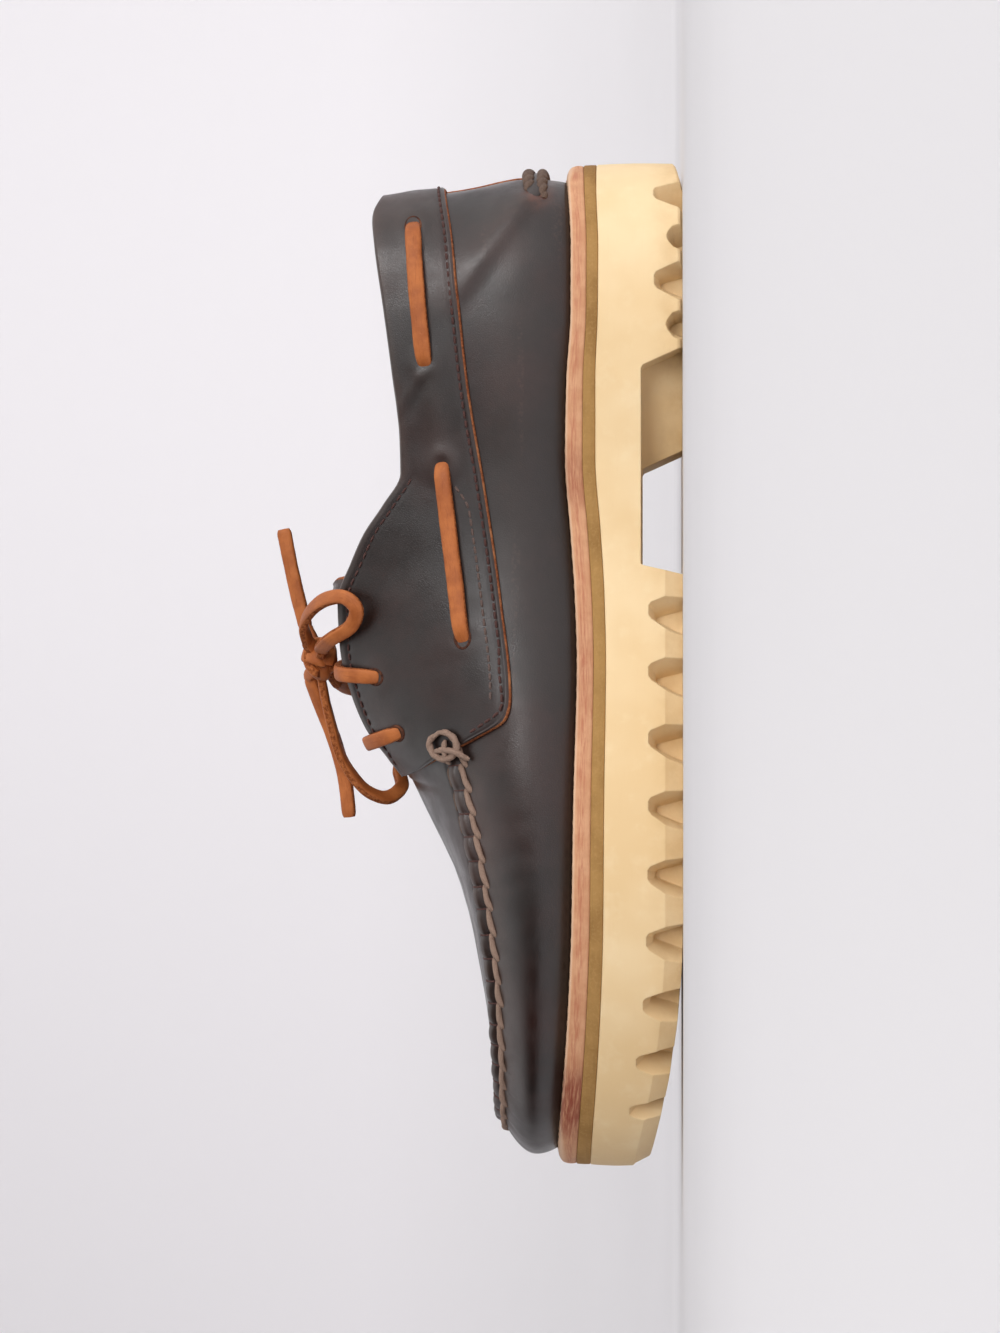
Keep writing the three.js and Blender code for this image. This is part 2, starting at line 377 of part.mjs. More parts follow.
const group = new THREE.Group();
const COLOURS = {
  dark: { color: 0x3a2c2b, roughness: 0.42, metalness: 0 }, cream: { color: 0xf3e0b6, roughness: 0.75, metalness: 0 }, khaki: { color: 0xae8c50, roughness: 0.8, metalness: 0 },
  tan: { color: 0xd9a07e, roughness: 0.7, metalness: 0 }, rust: { color: 0xc0733c, roughness: 0.8, metalness: 0 }, lining: { color: 0x8a6a4a, roughness: 0.8, metalness: 0 },
};
const add = (name, g, colour) => { const m = new THREE.Mesh(g, new THREE.MeshStandardMaterial(COLOURS[colour])); m.name = name; group.add(m); };
add("outsole", outsoleG, "cream");
add("midsole", midsoleG, "khaki");
add("welt", weltG, "tan");
add("insole", insoleG, "lining");
add("upper", upperG, "dark");
add("tongue", tongueG, "dark");
add("collar_saddle", saddleG, "dark");
for (const { name, from, fromZ, to, toZ } of WINDOWS)
  for (const [word, side] of [["outer", 1], ["inner", -1]])
    add(`lace_side_${word}_${name}`, cord([0, 0.25, 0.5, 0.75, 1].map((f) => onFace(mix(from, to, f), mix(fromZ, toZ, f), side, LIE + 0.3 * Math.sin(Math.PI * f))), LACE, 8, 7), "rust");
add("lace_bar_front", crossing(EYELETS[1], 170.5, at(172, -1, 91)), "rust");
add("lace_bar_rear", crossing(EYELETS[0], 151.5, at(150.5, -0.5, 100.6)), "rust");
const knot = new THREE.SphereGeometry(1, 14, 10);
knot.deleteAttribute("normal"); knot.deleteAttribute("uv");
knot.scale(6.4, 6.6, 5.2);
knot.translate(0.5, LENGTH / 2 - 146.8, 108.6);
add("lace_knot", geometry([...Array(knot.attributes.position.count).keys()].map((i) => new THREE.Vector3().fromBufferAttribute(knot.attributes.position, i)), [...Array(knot.index.count / 3).keys()].map((i) => [...knot.index.array.slice(3 * i, 3 * i + 3)])), "rust");
for (const [name, route] of Object.entries(ROUTES)) add(name, cord(route.map(([d, x, z]) => at(d, x, z)), LACE - 0.2, 8, 5), "rust");

// the origin is the middle of the shoe's own footprint, without the free lace
const FREE = new Set(["lace_knot", ...Object.keys(ROUTES)]);
const box = new THREE.Box3();
for (const m of group.children) if (!FREE.has(m.name)) { m.geometry.computeBoundingBox(); box.union(m.geometry.boundingBox); }
const shift = new THREE.Vector3(-(box.min.x + box.max.x) / 2, -(box.min.y + box.max.y) / 2, -box.min.z);
for (const m of group.children) m.position.copy(shift);
export default group;
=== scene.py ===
import json
import math

import bpy
import numpy as np
from mathutils import Matrix, Vector

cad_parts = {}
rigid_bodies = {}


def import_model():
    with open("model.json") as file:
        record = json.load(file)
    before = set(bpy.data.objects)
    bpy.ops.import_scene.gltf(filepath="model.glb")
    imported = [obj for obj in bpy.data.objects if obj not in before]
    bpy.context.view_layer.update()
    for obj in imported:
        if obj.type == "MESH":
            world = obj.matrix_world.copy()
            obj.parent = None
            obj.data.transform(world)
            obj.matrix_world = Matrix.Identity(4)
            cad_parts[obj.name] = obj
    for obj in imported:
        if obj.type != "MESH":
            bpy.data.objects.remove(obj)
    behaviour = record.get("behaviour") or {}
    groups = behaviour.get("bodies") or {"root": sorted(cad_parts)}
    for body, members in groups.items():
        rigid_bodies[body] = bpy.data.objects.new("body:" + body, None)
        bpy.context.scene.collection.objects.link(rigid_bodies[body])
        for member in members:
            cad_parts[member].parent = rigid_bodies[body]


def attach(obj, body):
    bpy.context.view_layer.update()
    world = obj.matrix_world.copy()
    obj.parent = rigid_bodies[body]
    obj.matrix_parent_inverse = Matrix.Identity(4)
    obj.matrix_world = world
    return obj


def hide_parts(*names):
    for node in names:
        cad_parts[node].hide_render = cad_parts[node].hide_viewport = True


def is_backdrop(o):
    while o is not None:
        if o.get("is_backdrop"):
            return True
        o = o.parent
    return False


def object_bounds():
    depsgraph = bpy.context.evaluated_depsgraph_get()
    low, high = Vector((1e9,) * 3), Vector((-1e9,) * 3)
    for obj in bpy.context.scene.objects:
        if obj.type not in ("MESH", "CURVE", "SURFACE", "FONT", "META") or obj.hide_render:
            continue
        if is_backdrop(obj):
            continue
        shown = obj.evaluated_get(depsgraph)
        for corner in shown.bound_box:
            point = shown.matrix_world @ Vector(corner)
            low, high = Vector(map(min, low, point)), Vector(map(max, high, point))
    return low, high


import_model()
CAD_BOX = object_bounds()
rng = np.random.default_rng(7)

LENGTH, GAP, WALL, SADDLE, FEATHER_IN = 300.0, 0.3, 2.0, 1.6, 5.6
SHIFT = np.array([-0.107, 0.0, 0.0])


def metres(p):
    return (np.asarray(p, float) + SHIFT) * 0.001


# ---- camera ---------------------------------------------------------------------------------------
camera_data = bpy.data.cameras.new("camera")
camera = bpy.data.objects.new("camera", camera_data)
bpy.context.scene.collection.objects.link(camera)
bpy.context.scene.camera = camera
eye, aim = Vector((0.955, -0.006, 0.005)), Vector((0.0, 0.0, 0.0545))
back = (eye - aim).normalized()
up = Vector((0, 1, 0))
right = up.cross(back).normalized()
up = back.cross(right)
camera.matrix_world = Matrix((
    (right.x, up.x, back.x, eye.x),
    (right.y, up.y, back.y, eye.y),
    (right.z, up.z, back.z, eye.z),
    (0, 0, 0, 1),
))
camera_data.sensor_width = 36.0  # the long side of the frame
camera_data.lens = 36.0 / (2 * math.tan(math.radians(23.6) / 2))
camera_data.clip_start, camera_data.clip_end = 0.01, 50

# ---- tables, the same numbers as the solids ---------------------------------------------------------
OUTLINE = np.array([
    [0, 0.5, 0.5], [4, 18, -17.5], [12, 28.5, -28], [26, 36, -35.5], [46, 39.3, -38.8], [68, 39.6, -38.2],
    [92, 38.8, -35.4], [116, 40.3, -34.6], [140, 44.6, -37.6], [165, 50, -43.5], [188, 53.8, -49.4], [208, 54.6, -53],
    [228, 52.8, -54.4], [247, 48.4, -53.2], [263, 41.6, -50], [277, 33, -44.6], [288, 23, -37], [295.4, 11.5, -27.6], [300, -8, -8],
], float)
STACK = np.array([
    [0, 1.6, 25.2, 34.4], [10, 0, 25, 33.2], [30, 0, 24.2, 32.2], [48, 0, 24.3, 32.2], [68, 0, 25, 33.4], [90, 0, 25, 33.8],
    [112, 0, 23.4, 32.2], [130, 0, 22.3, 30.9], [150, 0, 21.8, 30.2], [188, 0, 22.2, 31], [225, 0, 22.5, 31.6],
    [245, 0.9, 23.2, 32.5], [268, 3.6, 24.6, 34.1], [288, 7.4, 26.3, 36], [300, 9.8, 27.4, 37.2],
], float)
WALLS = np.array([
    [0, 1.2, 12, 2, 64, 0.52], [15, 1.6, 13, 1.4, 63, 0.52], [45, 2, 14, -0.8, 61, 0.5], [85, 2.5, 14, -1.2, 60, 0.5],
    [115, 2.5, 14, -0.5, 62, 0.52], [135, 2.5, 13, 1.4, 66, 0.55], [155, 2.8, 12, 5, 68, 0.58], [172, 3, 11, 8.5, 66.6, 0.62],
    [185, 3, 10, 9.5, 64.2, 0.68], [205, 3, 9.5, 8.8, 60, 0.72], [230, 3, 9, 8.3, 56.3, 0.74], [255, 3, 8.5, 8.5, 54.4, 0.74],
    [280, 2.8, 8, 9, 54, 0.72], [300, 2.2, 7, 9.5, 54.2, 0.72],
], float)
COLLAR = np.array([
    [11, 0, 0, 88, 0], [13.2, 13, -13, 88.8, 5], [19, 22, -22, 90, 13], [28, 27.6, -27.4, 88.9, 26], [45, 30.6, -30, 86.2, 45],
    [65, 31.5, -30, 83.4, 65], [84, 31, -29, 81.2, 84], [94, 30.5, -28.2, 81, 94], [103.5, 29.4, -27.2, 86.4, 103.5],
    [112, 28, -26, 92.2, 112], [120, 26, -24.6, 95.9, 120], [131, 23.4, -22.6, 99.9, 131], [145, 21, -21, 99.2, 145],
    [157, 19.6, -20, 96.2, 157], [167, 18, -19, 92.1, 166.5], [176, 15.4, -17, 85.6, 174], [181.5, 9.5, -11.5, 81.8, 180], [183.5, -1, -1, 81, 186],
], float)
SPINE = np.array([
    [183.5, -1, 81, 186], [197, -1.5, 74.4, 199], [210, -2.5, 68.2, 212], [224, -3.5, 63.6, 228], [236, -4.5, 60.8, 247],
    [246, -5.2, 58.8, 265], [253, -6, 57.7, 283], [258, -6.6, 57, 300],
], float)
SADDLE_LOW = np.array([
    [8, 70.4], [24, 67.2], [40, 65.2], [70, 61.8], [100, 56.8], [131, 52.2], [160, 49], [165, 50], [171.5, 59.6], [176, 68.5], [180.5, 77.5], [182.5, 84],
], float)
TONGUE = np.array([
    [206, 65.6, 17, 3, 0], [196, 70.6, 18, 4, 0], [185, 76.8, 19, 5.5, 0], [172, 84, 19.8, 7, 0], [160, 89.4, 20.4, 8, 1],
    [148, 94, 20.6, 8.5, 2], [137, 99.4, 20.6, 8.5, 4], [130, 104.4, 20.4, 8.5, 5], [125.5, 107, 19, 8, 6],
], float)
NOTCHES = np.array([
    [12.5, 8.4, 5], [26, 4.6, 3.4], [39, 8.2, 5], [52, 4.8, 3.6], [135.5, 9.8, 6], [153, 9.8, 6], [172, 9.8, 6], [191, 9.8, 6],
    [210.5, 10, 6], [229.5, 10.4, 6], [248, 11.4, 5.8], [265, 13.4, 5.6], [280, 15.4, 5],
], float)
STARS = np.array([
    [145, 2, 9.5], [163, -10, 9], [163, 15, 9], [182, 2, 10], [200, -15, 9.5], [200, 17, 9.5], [219, 0, 10], [236, -16, 8.5], [236, 13, 8.5], [252, -5, 8.5], [38, 8, 8.5], [38, -10, 8.5],
], float)
WINDOWS = {"rear": (22.5, 78.3, 62.6, 74.2), "front": (92, 69.2, 142.2, 62.6)}
EYELETS = ((153, 88.4), (169, 81.8))
LACE_WIDE, LACE_THICK = 4.5, 2.7
ROUTES = {
    "lace_loop_outer": [[142.6, 7.8, 111.5], [138, 14, 112], [133.6, 21, 109], [130.4, 28, 103.5], [130.2, 32, 97.8], [133.5, 32.6, 94.6], [138.2, 30, 96.2], [142, 25.8, 102.4], [144.3, 18, 106], [145.2, 9.8, 107]],
    "lace_loop_inner": [[153.6, -1.5, 108.4], [161, -1.6, 107], [169, -2, 105], [176, -2.6, 103], [182, -3.6, 99.8], [187.6, -5, 94.8], [189.6, -8, 89.2], [186.5, -13, 85.2], [181.8, -18.5, 86.2], [176.9, -26.2, 85], [170, -34.8, 80.4], [163.5, -34, 84.8], [158.6, -28.8, 93.8], [156.4, -20.4, 102], [154.4, -10.5, 104.6]],
    "lace_end_rear": [[138.6, -1, 113], [128.4, -1.5, 115.7], [118.4, -2, 118], [108.6, -2.5, 120]],
    "lace_end_front": [[153.4, -6.2, 112.4], [162, -8.4, 109.4], [172, -9.4, 105.4], [184, -9.8, 102.2], [195.6, -10, 100.8]],
}


def hermite(a, b, ma, mb, t):
    return a * (2 * t**3 - 3 * t * t + 1) + ma * (t**3 - 2 * t * t + t) + b * (3 * t * t - 2 * t**3) + mb * (t**3 - t * t)


def mix(a, b, t):
    return a + (b - a) * t


def smooth(a, b, v):
    t = np.clip((np.asarray(v, float) - a) / (b - a), 0, 1)
    return t * t * (3 - 2 * t)


def unit(v):
    return v / np.maximum(np.linalg.norm(v, axis=-1, keepdims=True), 1e-9)


class Curve:
    """Monotone cubic through points."""

    def __init__(self, x, y):
        self.x, self.y = np.asarray(x, float), np.asarray(y, float)
        h, n = np.diff(self.x), len(self.x)
        s = np.diff(self.y) / h
        self.m = np.zeros(n)
        self.m[0], self.m[-1] = s[0], s[-1]
        for i in range(1, n - 1):
            if s[i - 1] * s[i] > 0:
                self.m[i] = (3 * (h[i - 1] + h[i])) / ((2 * h[i] + h[i - 1]) / s[i - 1] + (h[i] + 2 * h[i - 1]) / s[i])

    def __call__(self, v):
        q = np.clip(np.asarray(v, float), self.x[0], self.x[-1])
        i = np.clip(np.searchsorted(self.x, q, side="left") - 1, 0, len(self.x) - 2)
        h = self.x[i + 1] - self.x[i]
        return hermite(self.y[i], self.y[i + 1], self.m[i] * h, self.m[i + 1] * h, (q - self.x[i]) / h)


class Loop:
    """Closed plan curve: u runs 0..1 along the outer side from heel to toe, and 0..-1 along the inner side."""

    def __init__(self, rows):
        st, outer, inner = rows[:, 0], rows[:, 1], rows[:, 2]
        d = np.diff(st)
        knots = np.concatenate([[0], np.cumsum(0.5 * (np.hypot(d, np.diff(outer)) + np.hypot(d, np.diff(inner))))])
        t = knots / knots[-1]
        self.t = t
        self.sides = []
        for own, other in ((outer, inner), (inner, outer)):
            T = np.concatenate([[-t[1]], t, [2 - t[-2]]])
            P = np.stack([np.concatenate([[st[1]], st, [st[-2]]]), np.concatenate([[other[1]], own, [other[-2]]])], -1)
            h = np.diff(T)[:, None]
            s = np.diff(P, axis=0) / h
            self.sides.append((P[1:-1], (s[1:] * h[:-1] + s[:-1] * h[1:]) / (h[:-1] + h[1:])))

    def half(self, side, q):
        P, M = self.sides[side]
        i = np.clip(np.searchsorted(self.t, q, side="left") - 1, 0, len(self.t) - 2)
        h = (self.t[i + 1] - self.t[i])[..., None]
        return hermite(P[i], P[i + 1], M[i] * h, M[i + 1] * h, ((q - self.t[i])[..., None]) / h)

    def point(self, u):
        u = np.asarray(u, float)
        v = np.where(u > 1, u - 2, np.where(u < -1, u + 2, u))
        return np.where((v >= 0)[..., None], self.half(0, np.abs(v)), self.half(1, np.abs(v)))

    def at(self, u, inset=0.0):
        u = np.asarray(u, float)
        p = self.point(u)
        d = unit(self.point(u + 1e-4) - self.point(u - 1e-4))
        return p + np.stack([d[..., 1], -d[..., 0]], -1) * np.asarray(inset, float)[..., None]

    def where(self, station):
        lo, hi = np.zeros(np.shape(station)), np.ones(np.shape(station))
        for _ in range(40):
            m = (lo + hi) / 2
            less = self.half(0, m)[..., 0] < station
            lo, hi = np.where(less, m, lo), np.where(less, hi, m)
        return (lo + hi) / 2


sole, collar = Loop(OUTLINE), Loop(COLLAR)
under, cream, welt = (Curve(STACK[:, 0], STACK[:, k]) for k in (1, 2, 3))
bulge, wide, into, seam_z, crown = (Curve(WALLS[:, 0], WALLS[:, k]) for k in (1, 2, 3, 4, 5))


def khaki(d):
    return mix(cream(d), welt(d), 0.42)


def base_of(rows, col):
    return np.array([0.0 if b <= 0 else 1.0 if b >= LENGTH else float(sole.where(b)) for b in rows[:, col]])


collar_base, spine_base = base_of(COLLAR, 4), base_of(SPINE, 3)
THROAT = collar_base[-1]
collar_at, collar_z = Curve(collar_base, collar.t), Curve(collar.t, COLLAR[:, 3])
spine_d, spine_x, spine_z = (Curve(spine_base, SPINE[:, k]) for k in (0, 1, 2))
LEVELS = [0, 0.2, 0.5, 0.75, 1]


def reach(u):
    t = np.abs(u)
    foot = sole.at(u, FEATHER_IN)
    c = collar_at(t)
    top_c = collar.at(np.where(u < 0, -c, c))
    top_s = np.stack([spine_d(t), spine_x(t)], -1)
    rear = t < THROAT
    top = np.where(rear[..., None], top_c, top_s)
    return foot, top, np.where(rear, collar_z(c), spine_z(t)), np.linalg.norm(top - foot, axis=-1)


def surface(u, w):
    """The outer face of the upper as a smooth form: u round the shoe, w from the foot of the wall to the top edge or the instep ridge."""
    u, w = np.asarray(u, float), np.asarray(w, float)
    foot, top, height, run = reach(u)
    d = sole.at(u)[..., 0]
    way = (top - foot) / run[..., None]
    lean = np.where(into(d) > 0, np.minimum(1, run / reach(np.abs(u))[3]), 1)
    z0 = welt(foot[..., 0]) + GAP
    seam, inn = seam_z(d), into(d) * lean
    o = [0 * inn, -bulge(d), inn, mix(inn, run, 0.5), run]
    z = [z0, z0 + wide(d), seam, mix(seam, height, crown(d)), height]
    h = [np.hypot(o[i + 1] - o[i], z[i + 1] - z[i]) for i in range(4)]

    def slopes(v):
        s = [(v[k + 1] - v[k]) / h[k] for k in range(4)]
        return [s[0] + ((s[0] - s[1]) * h[0]) / (h[0] + h[1])] + [(s[i] * h[i - 1] + s[i - 1] * h[i]) / (h[i] + h[i - 1]) for i in (1, 2, 3)] + [s[3] + ((s[3] - s[2]) * h[3]) / (h[2] + h[3])]

    mo, mz = slopes(o), slopes(z)
    flat = smooth(THROAT - 0.05, THROAT + 0.04, np.abs(u))
    mo[4], mz[4] = mix(mo[4], 1, flat), mix(mz[4], 0, flat)
    a = b = 0.0
    for k in range(4):
        on = (w >= LEVELS[k] if k else w > -1) & (w < LEVELS[k + 1] if k < 3 else w < 9)
        f = (w - LEVELS[k]) / (LEVELS[k + 1] - LEVELS[k])
        a = a + np.where(on, hermite(o[k], o[k + 1], mo[k] * h[k], mo[k + 1] * h[k], f), 0)
        b = b + np.where(on, hermite(z[k], z[k + 1], mz[k] * h[k], mz[k + 1] * h[k], f), 0)
    return np.stack(np.broadcast_arrays(foot[..., 1] + way[..., 1] * a, LENGTH / 2 - (foot[..., 0] + way[..., 0] * a), b), -1)


# The form as a table of points and outward normals, sampled bilinearly, with each point's distance along its section from the seam line (w = 0.5).
NT, NW = 900, 300
TU = np.linspace(-1, 1, 2 * NT + 1)
TW = np.linspace(0, 1, NW + 1)
TP = surface(TU[:, None], TW[None, :])
_along = np.roll(TP[:-1], -1, 0) - np.roll(TP[:-1], 1, 0)
_along = np.concatenate([_along, _along[:1]])
TN = -unit(np.cross(_along, np.gradient(TP, axis=1)))
_front = np.abs(TU) >= THROAT
TN[_front, -1] = unit(TN[_front, -1] + TN[::-1][_front, -1])
_step = np.linalg.norm(np.diff(TP, axis=1), axis=-1)
TD = np.concatenate([np.zeros((len(TU), 1)), np.cumsum(_step, 1)], 1)
TD = TD - TD[:, NW // 2 : NW // 2 + 1]


def sample(table, u, w):
    u, w = np.broadcast_arrays(np.asarray(u, float), np.asarray(w, float))
    u = np.where(u > 1, u - 2, np.where(u < -1, u + 2, u))
    a, b = np.clip((u + 1) * NT, 0, 2 * NT - 1e-6), np.clip(w * NW, 0, NW - 1e-6)
    i, k = a.astype(int), b.astype(int)
    fa, fb = a - i, b - k
    if table.ndim == 3:
        fa, fb = fa[..., None], fb[..., None]
    return table[i, k] * (1 - fa) * (1 - fb) + table[i + 1, k] * fa * (1 - fb) + table[i, k + 1] * (1 - fa) * fb + table[i + 1, k + 1] * fa * fb


def form(u, w):
    """Points and outward normals of the form."""
    return sample(TP, u, w), unit(sample(TN, u, w))


def seam_distance(u, w):
    """Signed distance along the section from the seam line."""
    return sample(TD, u, w)


def column(table, u):
    x = min(max((float(u) + 1) * NT, 0), 2 * NT - 1e-6)
    i = int(x)
    return mix(table[i], table[i + 1], x - i)


def w_at(u, d):
    """w of the point at distance d from the seam line."""
    out = np.empty(np.shape(u))
    for j, (a, b) in enumerate(zip(np.ravel(u), np.ravel(np.broadcast_to(d, np.shape(u))))):
        out.flat[j] = np.interp(b, column(TD, a), TW)
    return out


def locate(station, height, side=1):
    """u and w of a point of one side, given its station and height."""
    part = slice(NT, 2 * NT + 1) if side > 0 else slice(0, NT + 1)
    e = (LENGTH / 2 - TP[part, :, 1] - station) ** 2 + (TP[part, :, 2] - height) ** 2
    i, k = np.unravel_index(np.argmin(e), e.shape)
    cu, cw, su, sw = TU[part][i], TW[k], 1 / NT, 1 / NW
    for _ in range(2):
        U = np.clip(np.linspace(cu - su, cu + su, 9), -1, 1)[:, None]
        W = np.clip(np.linspace(cw - sw, cw + sw, 9), 0, 1)[None, :]
        P = sample(TP, U, W)
        e = (LENGTH / 2 - P[..., 1] - station) ** 2 + (P[..., 2] - height) ** 2
        i, k = np.unravel_index(np.argmin(e), e.shape)
        cu, cw, su, sw = float(U[i, 0]), float(W[0, k]), su / 5, sw / 5
    return cu, cw


# the moccasin seam: positions of its stitches, by distance along the seam line from the outer throat corner round the toe
_su = np.concatenate([np.linspace(THROAT - 0.045, 1, 500), np.linspace(-1, -(THROAT - 0.045), 500)[1:]])
_sp = sample(TP, _su, np.full(len(_su), 0.5))
_ss = np.concatenate([[0], np.cumsum(np.linalg.norm(np.diff(_sp, axis=0), axis=1))])
SEAM_LENGTH = _ss[-1]
N_MOC = int(round(SEAM_LENGTH / 7.1))
MOC = np.linspace(0, SEAM_LENGTH, N_MOC + 1)
MOC[1:-1] += rng.uniform(-0.35, 0.35, N_MOC - 1)
_su_w = np.where(_su < 0, _su + 2, _su)  # unwrapped: 0.55 .. 1.45


def seam_u(s):
    v = np.interp(s, _ss, _su_w)
    return np.where(v > 1, v - 2, v)


def seam_s(u):
    u = np.asarray(u, float)
    v = np.where(u < 0, u + 2, u)
    return np.interp(v, _su_w, _ss)


def pucker(s):
    """0 at each stitch of the moccasin seam, 1 between stitches."""
    k = np.clip(np.searchsorted(MOC, s) - 1, 0, N_MOC - 1)
    f = np.clip((s - MOC[k]) / (MOC[k + 1] - MOC[k]), 0, 1)
    return np.abs(np.sin(math.pi * f)) ** 0.55, k, f


GATHER = rng.uniform(0.75, 1.2, N_MOC + 2)


def ridge(u, w, d=None):
    """Height of the puckered seam and of the soft creases over the form, in mm."""
    u, w = np.broadcast_arrays(np.asarray(u, float), np.asarray(w, float))
    d = seam_distance(u, w) if d is None else d
    s = seam_s(u)
    p, k, f = pucker(s)
    on = smooth(THROAT - 0.036, THROAT - 0.02, np.abs(u))
    g = GATHER[k]
    top = 1.05 + 0.85 * p * g
    roll = top * np.exp(-(np.abs(d - 0.1) / (1.75 + 0.3 * p)) ** 2.8)
    trough = -0.55 * np.exp(-((d + 3.0) / 0.8) ** 2) - 0.5 * np.exp(-((d - 3.1) / 0.8) ** 2)
    # gathers run a little way down the wall and into the apron, strongest round the toe
    toe = smooth(0.80, 0.93, np.abs(u))
    fade_low = np.exp(-np.clip(-d - 3.6, 0, 99) / 4.2) * (d < -3.0)
    fade_high = np.exp(-np.clip(d - 3.4, 0, 99) / 2.6) * (d > 3.0)
    gathers = (p - 0.6) * ((0.12 + 0.62 * toe) * fade_low * g + (0.15 + 0.25 * toe) * fade_high)
    return on * (roll + trough + gathers)


def bump(centre_u, centre_d, su, sd, u, d):
    return np.exp(-(((u - centre_u) / su) ** 2) - ((d - centre_d) / sd) ** 2)


# ---- mesh helpers -----------------------------------------------------------------------------------
class Shape:
    """Gathers grids and tubes in millimetres and makes one mesh object of them."""

    def __init__(self, attributes=()):
        self.points, self.faces, self.slots, self.count = [], [], [], 0
        self.values = {a: [] for a in attributes}

    def add(self, points, faces, slot=0, **values):
        points = np.asarray(points, float).reshape(-1, 3)
        for name, store in self.values.items():
            v = values.get(name, 0.0)
            store.append(np.broadcast_to(np.asarray(v, float), (len(points),)) if np.ndim(v) == 0 else np.asarray(v, float).reshape(-1))
        self.points.append(points)
        for f in faces:
            f = np.asarray(f, int)
            if len(f):
                self.faces.append(f + self.count)
                self.slots.append(np.full(len(f), slot) if np.ndim(slot) == 0 else np.asarray(slot))
        self.count += len(points)

    def grid(self, P, close_u=False, close_v=False, slot=0, keep=None, flip=False, **values):
        """P is [u][v]; keep is a mask of the faces that are made, slot may be an array the same shape as the faces."""
        n, m = P.shape[:2]
        iu, iv = np.arange(n if close_u else n - 1), np.arange(m if close_v else m - 1)
        a, b = np.meshgrid(iu, iv, indexing="ij")
        a2, b2 = (a + 1) % n, (b + 1) % m
        q = np.stack([a * m + b, a2 * m + b, a2 * m + b2, a * m + b2], -1)
        if flip:
            q = q[..., ::-1]
        q = q.reshape(-1, 4)
        s = np.broadcast_to(np.asarray(slot), a.shape).reshape(-1)
        if keep is not None:
            k = np.broadcast_to(keep, a.shape).reshape(-1)
            q, s = q[k], s[k]
        self.add(P, [q], s, **values)

    def build(self, name, materials, merge=0.0, sharp=None, angle=None):
        P = np.concatenate(self.points)
        mesh = bpy.data.meshes.new(name)
        polygons = [tuple(row) for block in self.faces for row in block.tolist()]
        mesh.from_pydata(metres(P).tolist(), [], polygons)
        for m in materials:
            mesh.materials.append(m)
        mesh.polygons.foreach_set("material_index", np.concatenate(self.slots).astype(np.int32))
        mesh.polygons.foreach_set("use_smooth", np.ones(len(polygons), bool))
        for key, store in self.values.items():
            mesh.attributes.new(key, "FLOAT", "POINT").data.foreach_set("value", np.concatenate(store).astype(np.float32))
        mesh.validate()
        obj = bpy.data.objects.new(name, mesh)
        bpy.context.scene.collection.objects.link(obj)
        if merge:
            import bmesh

            bm = bmesh.new()
            bm.from_mesh(mesh)
            bmesh.ops.remove_doubles(bm, verts=bm.verts, dist=merge * 0.001)
            bmesh.ops.dissolve_degenerate(bm, edges=bm.edges, dist=1e-7)
            bmesh.ops.recalc_face_normals(bm, faces=bm.faces)
            bm.to_mesh(mesh)
            bm.free()
        if angle:
            mesh.set_sharp_from_angle(angle=math.radians(angle))
        mesh.update()
        return obj


def spline(points, step=0.8):
    """Centripetal Catmull-Rom through the points, resampled evenly."""
    p = np.asarray(points, float)
    p = np.concatenate([[2 * p[0] - p[1]], p, [2 * p[-1] - p[-2]]])
    out = []
    for i in range(1, len(p) - 2):
        p0, p1, p2, p3 = p[i - 1], p[i], p[i + 1], p[i + 2]
        d0, d1, d2 = (max(np.linalg.norm(b - a), 1e-6) ** 0.5 for a, b in ((p0, p1), (p1, p2), (p2, p3)))
        m1 = ((p1 - p0) / d0 - (p2 - p0) / (d0 + d1) + (p2 - p1) / d1) * d1
        m2 = ((p2 - p1) / d1 - (p3 - p1) / (d1 + d2) + (p3 - p2) / d2) * d1
        t = np.linspace(0, 1, 24, endpoint=False)[:, None]
        out.append(hermite(p1, p2, m1, m2, t))
    out = np.concatenate(out + [p[-2:-1]])
    s = np.concatenate([[0], np.cumsum(np.linalg.norm(np.diff(out, axis=0), axis=1))])
    n = max(4, int(round(s[-1] / step)) + 1)
    q = np.linspace(0, s[-1], n)
    return np.stack([np.interp(q, s, out[:, k]) for k in range(3)], -1)


def frames(path, hint=None, hints=None):
    """Tangent, face normal and side vector along a path; the face normal turns as little as it can from `hint`, or follows `hints`."""
    t = unit(np.gradient(path, axis=0))
    if hints is not None:
        n = unit(hints - (hints * t).sum(-1, keepdims=True) * t)
        return t, n, np.cross(t, n)
    h = np.array([0, 0, 1.0]) if hint is None else np.asarray(hint, float)
    n = np.empty_like(path)
    n[0] = unit(h - h.dot(t[0]) * t[0])
    for i in range(1, len(path)):
        v = n[i - 1]
        v = v - v.dot(t[i]) * t[i]
        n[i] = unit(v)
    return t, n, np.cross(t, n)


